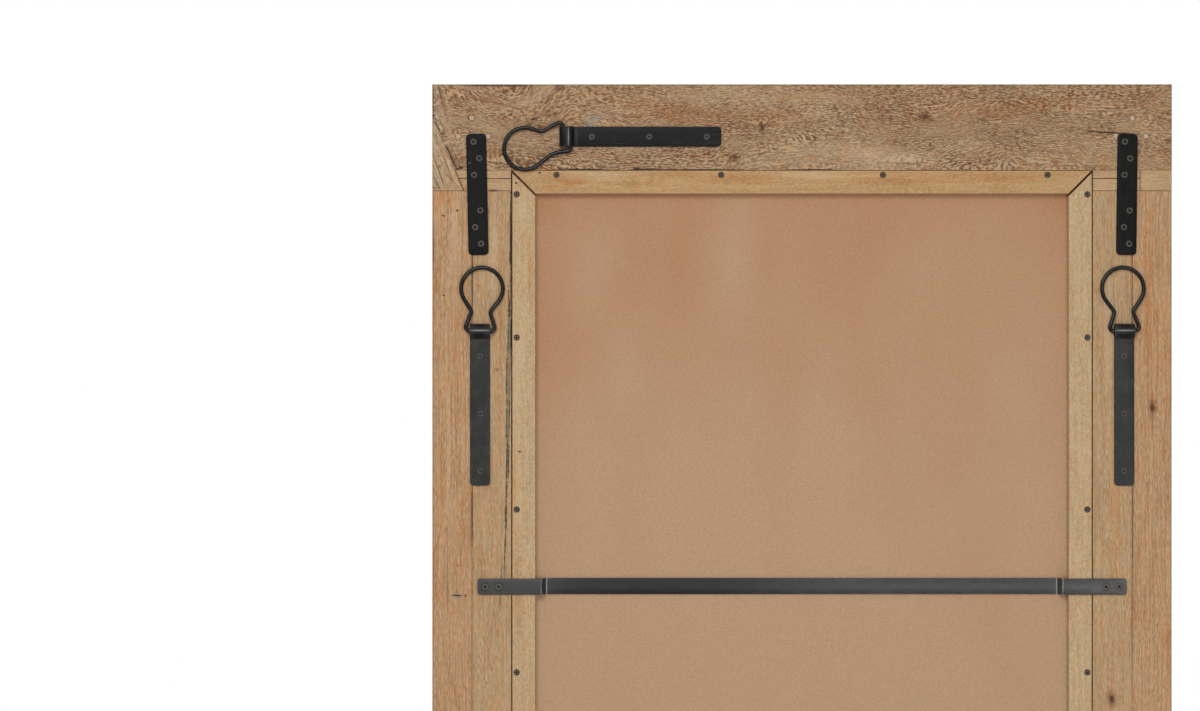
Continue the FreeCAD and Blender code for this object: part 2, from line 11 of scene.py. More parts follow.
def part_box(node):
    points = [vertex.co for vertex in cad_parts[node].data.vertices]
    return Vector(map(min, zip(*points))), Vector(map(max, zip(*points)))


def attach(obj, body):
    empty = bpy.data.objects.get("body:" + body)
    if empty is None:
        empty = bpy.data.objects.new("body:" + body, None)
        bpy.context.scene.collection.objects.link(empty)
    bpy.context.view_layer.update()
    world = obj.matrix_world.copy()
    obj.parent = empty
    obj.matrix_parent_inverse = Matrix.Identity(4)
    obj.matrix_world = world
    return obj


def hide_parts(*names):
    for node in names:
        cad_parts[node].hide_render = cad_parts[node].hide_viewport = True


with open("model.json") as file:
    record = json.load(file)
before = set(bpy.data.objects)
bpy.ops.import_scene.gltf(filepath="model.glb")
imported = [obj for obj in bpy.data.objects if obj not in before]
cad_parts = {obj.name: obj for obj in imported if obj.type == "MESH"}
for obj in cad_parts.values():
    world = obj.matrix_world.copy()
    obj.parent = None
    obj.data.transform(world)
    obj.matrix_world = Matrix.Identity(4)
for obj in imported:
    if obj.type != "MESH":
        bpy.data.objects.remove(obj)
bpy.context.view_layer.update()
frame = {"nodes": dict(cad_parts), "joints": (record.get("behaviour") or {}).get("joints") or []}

bl_info = {
    "name": "Floor mirror",
    "version": (1, 0, 0),
    "blender": (4, 5, 0),
    "location": "View3D > Sidebar > Floor mirror",
    "description": "Dresses the back and front of a tall mirror in a reclaimed-wood frame",
    "category": "Object",
}

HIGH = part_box("top_rail")[1]
LEFT_X, TOP_Z, BACK_Y = HIGH.x, HIGH.z, HIGH.y
INNER_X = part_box("left_batten")[0].x
MM = 0.001
QUARTER = math.radians(90)


# Settings

def colour(name, text, default):
    return FloatVectorProperty(
        name=name, description=text, subtype="COLOR", size=3, min=0.0, max=1.0, default=default)


def length(name, text, default):
    return FloatProperty(name=name, description=text, unit="LENGTH", min=0.0, default=default, precision=5)


def lengths(name, text, default):
    return FloatVectorProperty(name=name, description=text, default=default, size=len(default), unit="LENGTH")


def share(name, text, default):
    return FloatProperty(name=name, description=text, subtype="FACTOR", min=0.0, max=1.0, default=default)


WOOD_SETTINGS = (
    ("light", colour, "Early wood", "Colour between the growth rings"),
    ("dark", colour, "Late wood", "Colour of the growth rings"),
    ("streak", colour, "Streaks", "Colour of the long pores and fibres"),
    ("fleck", colour, "Flecks", "Colour of the short squiggles across the grain"),
    ("warm", colour, "Stain", "Colour of the broad warm patches"),
    ("ring_spacing", length, "Ring spacing", "Distance from one growth ring to the next"),
    ("wave", length, "Wave", "How far the grain wanders sideways"),
    ("fleck_length", length, "Fleck length", "Length of a fleck along the grain"),
    ("fleck_width", length, "Fleck width", "Width of a fleck across the grain"),
    ("rings", share, "Rings", "How strongly the rings show"),
    ("streaks", share, "Streaks", "How strongly the streaks show"),
    ("flecks", share, "Flecks", "How strongly the flecks show"),
    ("blotch", share, "Stain", "How strongly the warm patches show"),
    ("tone", share, "Tone", "How much the fibres differ between orange and grey"),
)


def board_look(name, *values):
    """A group of settings for one kind of board, all boards having the same ones."""
    made = {key: kind(title, text, value) for (key, kind, title, text), value in zip(WOOD_SETTINGS, values)}
    return type(f"MIRROR_PG_{name}_wood", (bpy.types.PropertyGroup,), {"__annotations__": made})


WOODS = {
    "rail": board_look(
        "rail", (0.480, 0.335, 0.194), (0.200, 0.094, 0.041), (0.22, 0.112, 0.050), (0.150, 0.062, 0.027),
        (0.41, 0.205, 0.090), 0.0029, 0.022, 0.0050, 0.00105, 0.72, 0.44, 1.0, 0.38, 0.50),
    "outer_board": board_look(
        "outer_board", (0.520, 0.325, 0.174), (0.42, 0.230, 0.108), (0.29, 0.160, 0.075), (0.30, 0.155, 0.070),
        (0.53, 0.270, 0.125), 0.0048, 0.004, 0.0080, 0.0010, 0.36, 0.62, 0.66, 0.28, 0.55),
    "inner_board": board_look(
        "inner_board", (0.500, 0.332, 0.182), (0.40, 0.245, 0.118), (0.28, 0.165, 0.078), (0.30, 0.175, 0.083),
        (0.48, 0.275, 0.128), 0.0056, 0.005, 0.0080, 0.0010, 0.34, 0.52, 0.60, 0.22, 0.50),
    "batten": board_look(
        "batten", (0.560, 0.395, 0.230), (0.46, 0.285, 0.140), (0.36, 0.225, 0.110), (0.36, 0.220, 0.112),
        (0.48, 0.265, 0.110), 0.0090, 0.004, 0.0034, 0.0017, 0.25, 0.34, 0.52, 0.25, 0.35),
    "filler": board_look(
        "filler", (0.500, 0.332, 0.182), (0.41, 0.255, 0.130), (0.32, 0.190, 0.095), (0.33, 0.185, 0.090),
        (0.46, 0.280, 0.135), 0.0045, 0.002, 0.0070, 0.0014, 0.30, 0.44, 0.40, 0.15, 0.35),
    "patch": board_look(
        "patch", (0.530, 0.392, 0.236), (0.36, 0.225, 0.120), (0.27, 0.160, 0.080), (0.26, 0.140, 0.066),
        (0.42, 0.250, 0.130), 0.0052, 0.004, 0.0070, 0.0013, 0.52, 0.50, 0.60, 0.30, 0.50),
    "peg": board_look(
        "peg", (0.540, 0.410, 0.280), (0.44, 0.315, 0.200), (0.38, 0.260, 0.160), (0.34, 0.220, 0.130),
        (0.46, 0.310, 0.190), 0.0016, 0.001, 0.0030, 0.0012, 0.40, 0.20, 0.40, 0.20, 0.20),
}


class SteelLook(bpy.types.PropertyGroup):
    """Colours of the steelwork and its screws."""
    plate: colour("Corner plate", "Satin black of the corner plates", (0.0045, 0.0044, 0.0040))
    strap: colour("Hanger strap", "Black of the hanger straps", (0.017, 0.017, 0.016))
    ring: colour("Ring", "Black of the wire rings", (0.0030, 0.0030, 0.0034))
    bar: colour("Cross bar", "Dark grey of the cross bars", (0.032, 0.032, 0.0315))
    screw: colour("Screw", "Grey of the screw heads", (0.033, 0.031, 0.028))
    # Bare steel is also the colour of the painted highlights on the strap eyes and cross bar bends, and edge wear
    # also sets the painted highlight on ring crests and bar bends
    bare: colour("Bare steel", "Where the finish has rubbed off", (0.33, 0.32, 0.30))
    edge_wear_and_highlight: share("Edge wear", "How much of the edges is rubbed bright", 0.35)


class HardwareSizes(bpy.types.PropertyGroup):
    """Sizes of the small forms on the steelwork, which follow the solids of the part."""
    strap_thickness: length("Strap thickness", "Sheet of the hanger straps", 0.002)
    eye_height: length("Eye height", "Inside height of the rolled eye", 0.0064)
    eye_length: length("Eye length", "Inside length of the rolled eye", 0.0138)
    eye_lip_gap: length("Eye lip gap", "Gap under the tip of the eye", 0.0003)
    wire_radius: length("Wire radius", "Round wire of the rings", 0.0025)
    bow_radius: length("Bow radius", "Centreline of the round bow", 0.0258)
    even_bow: lengths("Bow", "Middle of the bow, across and up from the bar", (0.0, 0.0527))
    even_arm: lengths("Arm", "Shoulder half width and bend, neck half width, height and bend",
                      (0.0201, 0.005, 0.0112, 0.024, 0.006))
    bent_bow: lengths("Bent bow", "Middle of the bow of the bent ring", (-0.0017, 0.0534))
    bent_arm: lengths("Bent arm", "First arm of the bent ring, sizes as above",
                      (0.019, 0.004, 0.0135, 0.0205, 0.036))
    bent_back: lengths("Bent back arm", "Second arm of the bent ring", (0.0206, 0.005, 0.0149, 0.0271, 0.010))
    rest_clearance: length("Rest clearance", "Gap from the resting bow to the wood", 0.0003)
    plate_corner: length("Plate corner", "Corner radius of the corner plates and strap ends", 0.0052)
    bar_corner: length("Bar corner", "Corner radius of the cross bars", 0.003)
    bar_bend: length("Bar bend", "Inside radius where a cross bar is cranked", 0.0015)
    steel_round: length("Edge rounding", "Rounding of the steel edges", 0.00035)
    wood_round: length("Arris", "Rounding of the battens and small wood pieces", 0.0005)
    head_radius: length("Head radius", "Radius of the screw heads", 0.0039)
    shank_radius: length("Shank radius", "Radius of the screw shanks", 0.0018)
    tip_radius: length("Tip radius", "Radius of the screw tips", 0.0006)
    hole_clearance: length("Hole clearance", "Gap round a screw head in its hole", 0.00015)
    recess_reach: length("Recess reach", "Length of one arm of the cross recess", 0.0022)
    recess_half_width: length("Recess half width", "Half the width of an arm", 0.00055)
    peg_radius: length("Peg radius", "Size of the whittled pegs", 0.0038)
    wire_sides: IntProperty(name="Wire sides", description="Facets round the wire", default=16, min=8)
    head_sides: IntProperty(name="Head sides", description="Facets round a screw head", default=24, min=12)


class PanelLook(bpy.types.PropertyGroup):
    """Colours of the backing panel, the glass and its blocks."""
    board: colour("Hardboard", "Main colour of the backing panel", (0.450, 0.281, 0.163))
    # The stain colour is also the colour of the painted shade towards the battens
    board_warm: colour("Hardboard stain", "Colour towards the ends and in the soft stains", (0.408, 0.198, 0.091))
    glass: colour("Mirror", "Tint of the reflection", (0.86, 0.89, 0.88))
    block: colour("Rubber", "Colour of the setting blocks", (0.02, 0.02, 0.02))


class StageLook(bpy.types.PropertyGroup):
    """Camera, floor and light."""
    camera_distance: length("Camera distance", "From the camera to the back of the frame", 4.0)
    pixel: length("Pixel", "Size on the object of one pixel of a picture 1200 wide", 0.001236)
    floor: colour("Floor", "Colour of the floor", (0.86, 0.86, 0.855))
    sky: FloatProperty(name="Sky", description="Strength of the even light all round", default=0.337, min=0.0)
    key: FloatProperty(name="Key", description="Power of the large soft lamp", default=75.5, min=0.0, unit="POWER")


class MirrorSettings(bpy.types.PropertyGroup):
    """All settings of the floor mirror, with one group for each wood besides these."""
    steel: PointerProperty(type=SteelLook)
    sizes: PointerProperty(type=HardwareSizes)
    panel: PointerProperty(type=PanelLook)
    stage: PointerProperty(type=StageLook)


MirrorSettings.__annotations__.update({name: PointerProperty(type=wood) for name, wood in WOODS.items()})


# Shader trees

class Signal:
    """One output of a shader node. Sums, products and the like are laid as maths nodes of their own."""

    def __init__(self, tree, made, key=0):
        self.tree, self.made, self.key = tree, made, key

    def __getitem__(self, key):
        return Signal(self.tree, self.made, key)

    @property
    def socket(self):
        return self.made.outputs[self.key]

    def __add__(self, other):
        return self.tree.math("ADD", self, other)

    def __radd__(self, other):
        return self.tree.math("ADD", other, self)

    def __sub__(self, other):
        return self.tree.math("SUBTRACT", self, other)

    def __rsub__(self, other):
        return self.tree.math("SUBTRACT", other, self)

    def __mul__(self, other):
        return self.tree.math("MULTIPLY", self, other)

    def __truediv__(self, other):
        return self.tree.math("DIVIDE", self, other)


def opaque(paint):
    return paint if isinstance(paint, Signal) else (*paint, 1.0)


class Tree:
    """Lays nodes into one shader tree. An input is a value or the signal that feeds it."""

    def __init__(self, tree):
        self.tree = tree

    def node(self, kind, inputs=None, **settings):
        made = self.tree.nodes.new(kind if kind.startswith("Node") else f"ShaderNode{kind}")
        for key, value in settings.items():
            setattr(made, key, value)
        for key, value in (inputs or {}).items():
            if isinstance(value, Signal):
                self.tree.links.new(value.socket, made.inputs[key])
            else:
                made.inputs[key].default_value = value
        return Signal(self, made)

    def math(self, operation, a, b=0.0, clamp=False):
        """Maths on two numbers, or on two vectors where either of them is one."""
        for given in (a, b):
            if isinstance(given, tuple) or isinstance(given, Signal) and given.socket.type != "VALUE":
                return self.node("VectorMath", {0: a, 1: b}, operation=operation)
        return self.node("Math", {0: a, 1: b}, operation=operation, use_clamp=clamp)

    def scaled(self, vector, factor):
        return self.node("VectorMath", {0: vector, "Scale": factor}, operation="SCALE")

    def reach(self, vector):
        """How long a vector is."""
        return self.node("VectorMath", {0: vector}, operation="LENGTH")["Value"]

    def split(self, vector):
        parts = self.node("SeparateXYZ", {0: vector})
        return parts[0], parts[1], parts[2]

    def attribute(self, name):
        return self.node("Attribute", attribute_name=name)["Fac"]

    def mix(self, factor, a, b, blend="MIX"):
        inputs = {0: factor, 6: opaque(a), 7: opaque(b)}
        return self.node("Mix", inputs, data_type="RGBA", blend_type=blend)[2]

    def lit(self, shade, value):
        """A colour made lighter or darker."""
        return self.node("HueSaturation", {"Value": value, "Color": shade})

    def step(self, value, start, end):
        """0 before start and 1 past end, easing between. It falls when start is over end."""
        return self.node("MapRange", {0: value, 1: start, 2: end}, interpolation_type="SMOOTHSTEP")

    def noise(self, vector, stretch, detail=2.0, roughness=0.5, distortion=0.0):
        """Noise with its own fineness along each axis, or one for all, in cells per metre."""
        scaled = vector * (stretch if isinstance(stretch, tuple) else (stretch,) * 3)
        return self.node("TexNoise", {"Vector": scaled, "Scale": 1.0, "Detail": detail, "Roughness": roughness,
                                      "Distortion": distortion})

    def place(self, maker, inputs):
        """Places a shared node group, which is made the first time that it is asked for."""
        if maker not in GROUPS:
            GROUPS[maker] = maker()
        return self.node("Group", inputs, node_tree=GROUPS[maker])


GROUPS = {}
SOCKETS = {"value": "NodeSocketFloat", "vector": "NodeSocketVector", "colour": "NodeSocketColor"}


def new_group(name, inputs, outputs):
    """An empty node group with named sockets, its tree and its inputs."""
    group = bpy.data.node_groups.new(name, "ShaderNodeTree")
    for sockets, way in ((inputs, "INPUT"), (outputs, "OUTPUT")):
        for title, kind in sockets.items():
            group.interface.new_socket(name=title, in_out=way, socket_type=SOCKETS[kind])
    tree = Tree(group)
    return group, tree, tree.node("NodeGroupInput")


def board_group():
    """Sawn wood: growth rings, fibres, flecks and stains that follow one wandering grain along X."""
    looks = {key: "colour" if kind is colour else "value" for key, kind, *_ in WOOD_SETTINGS}
    group, t, given = new_group("Sawn board", {"Vector": "vector", **looks},
                                {"Color": "colour", "Roughness": "value", "Height": "value"})
    vector = given["Vector"]
    x, y, z = t.split(vector)
    broad = t.noise(vector, (4.0, 11.0, 11.0))
    close = t.noise(vector, (22.0, 60.0, 60.0))
    wander = (broad - 0.5) + (close - 0.5) * 0.12
    across = y + wander * 4.0 * given["wave"]
    grain = t.node("CombineXYZ", {0: x, 1: across, 2: z})

    uneven = t.noise(grain, (7.0, 120.0, 60.0))
    count = across / given["ring_spacing"] + uneven * 0.9
    late = t.step(t.math("SINE", count * math.tau), -0.6, 1.0)
    shown = t.step(t.noise(vector, (5.0, 16.0, 16.0), 1.0), 0.30, 0.60)
    rings = late * shown * given["rings"]
    streaks = t.step(t.noise(grain, (16.0, 520.0, 520.0), 3.0, 0.65), 0.44, 0.66) * given["streaks"]
    width = given["fleck_width"]
    cells = t.node("CombineXYZ", {0: x / given["fleck_length"], 1: across / width, 2: z / width})
    squiggle = t.noise(cells, 1.0, 3.0, 0.62, 0.2)
    crowd = t.step(t.noise(vector, (14.0, 40.0, 40.0)), 0.35, 0.62)
    flecks = t.step(squiggle, 0.462, 0.562) * (0.55 + crowd * 0.45) * given["flecks"]
    pale = t.step(squiggle, 0.472, 0.38) * given["flecks"]
    stain = t.step(t.noise(vector, (6.0, 17.0, 17.0), 3.0), 0.46, 0.68) * given["blotch"]

    shade = t.mix(rings, given["light"], given["dark"])
    shade = t.mix(stain, shade, given["warm"])
    shade = t.mix(streaks, shade, given["streak"])
    shade = t.mix(flecks, shade, given["fleck"])
    shade = t.mix(pale * 0.60, shade, given["light"])
    tone = t.noise(grain, (50.0, 210.0, 210.0), 2.0, 0.6)
    for end, tint in ((0.62, (1.0, 0.80, 0.58)), (0.38, (0.92, 1.0, 1.0))):
        shade = t.mix(t.step(tone, 0.50, end) * given["tone"], shade, tint, "MULTIPLY")
    fine = t.noise(grain, (170.0, 600.0, 600.0), 2.0, 0.6)
    shade = t.lit(shade, 0.74 + fine * 0.56)

    height = 1.0 - rings * 0.30 - streaks * 0.40 - flecks * 0.30 + fine * 0.30
    rough = 0.52 + (streaks + fine) * 0.16
    t.node("NodeGroupOutput", {"Color": shade, "Roughness": rough, "Height": height})
    return group


def mark_group():
    """One spot, knot, crack or smear: a ragged ellipsoid that can be turned about the depth axis."""
    group, t, given = new_group("Mark", {
        "Vector": "vector", "Shake": "vector", "Centre": "vector", "Half Size": "vector",
        "Turn": "value", "Waver": "value", "Softness": "value", "Ragged": "value"}, {"Mask": "value"})
    shaken = t.scaled(given["Shake"], given["Waver"])
    offset = (given["Vector"] - given["Centre"]) + shaken
    turned = t.node("VectorRotate", {"Vector": offset, "Angle": given["Turn"]}, rotation_type="Y_AXIS")
    reach = t.reach(turned / given["Half Size"]) + t.split(given["Shake"])[1] * given["Ragged"]
    mask = t.step(reach, 1.0 + given["Softness"], 1.0 - given["Softness"])
    t.node("NodeGroupOutput", {"Mask": mask})
    return group


def swerve_group():
    """Bends the grain round a place, as it runs round a knot: the vector is lifted across the board."""
    group, t, given = new_group("Swerve", {
        "Vector": "vector", "Centre": "vector", "Half Size": "vector", "Lift": "vector"}, {"Vector": "vector"})
    reach = t.reach((given["Vector"] - given["Centre"]) / given["Half Size"])
    fall = t.math("EXPONENT", reach * reach * -1.0)
    t.node("NodeGroupOutput", {"Vector": given["Vector"] + t.scaled(given["Lift"], fall)})
    return group


def arris_group():
    """1 along the outer edges of a box and 0 away from them, broken up a little."""
    group, t, given = new_group(
        "Arris", {"Vector": "vector", "Low": "vector", "High": "vector", "Width": "value"}, {"Mask": "value"})
    x, y, z = t.split(t.math("MINIMUM", given["Vector"] - given["Low"], given["High"] - given["Vector"]))
    second = t.math("MAXIMUM", t.math("MINIMUM", x, y), t.math("MINIMUM", t.math("MAXIMUM", x, y), z))
    torn = t.noise(given["Vector"], 90.0, 3.0, 0.6)
    t.node("NodeGroupOutput", {"Mask": t.step(second, given["Width"] * (torn * 2.0), 0.0)})
    return group


def steel_group():
    """Handled black steel: soft smudges, fine scratches along X and specks of dust."""
    group, t, given = new_group("Handled steel", {"Vector": "vector"}, {
        "Smudge": "value", "Scratch": "value", "Dust": "value", "Height": "value"})
    vector = given["Vector"]
    smudge = t.step(t.noise(vector, 45.0, 4.0, 0.6), 0.40, 0.68)
    line = t.noise(vector, (25.0, 2600.0, 2600.0), 2.0, 0.7)
    scratch = t.step(line, 0.60, 0.72) * t.step(t.noise(vector, 60.0), 0.42, 0.60)
    dust = t.step(t.noise(vector, 1300.0, 1.0), 0.72, 0.80)
    height = t.noise(vector, 700.0) * 0.5 - scratch * 0.4
    t.node("NodeGroupOutput", {"Smudge": smudge, "Scratch": scratch, "Dust": dust, "Height": height})
    return group


def new_material(name):
    """A material with an empty tree, and the object coordinates in it."""
    material = bpy.data.materials.new(name)
    material.use_nodes = True
    material.node_tree.nodes.clear()
    tree = Tree(material.node_tree)
    return material, tree, tree.node("TexCoord")["Object"]


def finish_material(tree, shade, rough, height=None, depth=0.0, strength=1.0, specular=0.25, metallic=0.0):
    """The principled shader with its bump, joined to the output."""
    inputs = {"Base Color": opaque(shade), "Roughness": rough, "Metallic": metallic, "Specular IOR Level": specular}
    if height:
        inputs["Normal"] = tree.node("Bump", {"Height": height, "Distance": depth, "Strength": strength})
    tree.node("OutputMaterial", {"Surface": tree.node("BsdfPrincipled", inputs)})


# How each kind of mark is laid: blend, colour, strength, waver in mm, softness, raggedness, how deep it sinks
MARK_KINDS = {
    "rust": ("MULTIPLY", (0.86, 0.66, 0.48), 0.62, 9.0, 0.95, 3.0, 0.0),
    "orange": ("MULTIPLY", (1.00, 0.80, 0.62), 0.80, 6.0, 0.95, 2.0, 0.0),
    "pale": ("MIX", (0.62, 0.460, 0.295), 0.32, 5.0, 0.90, 1.6, 0.0),
    "halo": ("MULTIPLY", (0.50, 0.34, 0.24), 0.80, 6.0, 0.70, 1.2, 0.0),
    "decay": ("MIX", (0.22, 0.098, 0.046), 0.66, 6.0, 0.60, 3.4, 0.5),
    "faint": ("MULTIPLY", (0.60, 0.47, 0.40), 0.75, 1.4, 0.60, 1.6, 0.0),
    "shade": ("MULTIPLY", (0.36, 0.30, 0.26), 0.90, 6.0, 0.80, 2.0, 0.0),
    "chalk": ("MIX", (0.48, 0.440, 0.345), 0.60, 5.0, 0.50, 5.0, 0.0),
    "paint": ("MIX", (0.22, 0.250, 0.240), 0.50, 8.0, 0.45, 4.6, 0.0),
    "putty": ("MIX", (0.21, 0.195, 0.135), 0.70, 6.0, 0.45, 3.4, 0.2),
    "filling": ("MIX", (0.160, 0.153, 0.104), 0.85, 2.2, 0.35, 1.8, 0.3),
    "glue": ("MIX", (0.035, 0.014, 0.007), 0.92, 0.8, 0.30, 0.7, 0.7),
    "hairline": ("MIX", (0.085, 0.040, 0.020), 0.80, 1.2, 0.50, 1.2, 0.4),
    "split": ("MIX", (0.034, 0.022, 0.015), 0.90, 3.0, 0.40, 2.8, 0.7),
    "knot": ("MIX", (0.075, 0.037, 0.020), 0.92, 2.5, 0.30, 0.8, 0.3),
    "crack": ("MIX", (0.022, 0.012, 0.008), 0.95, 2.6, 0.40, 1.6, 1.0),
}

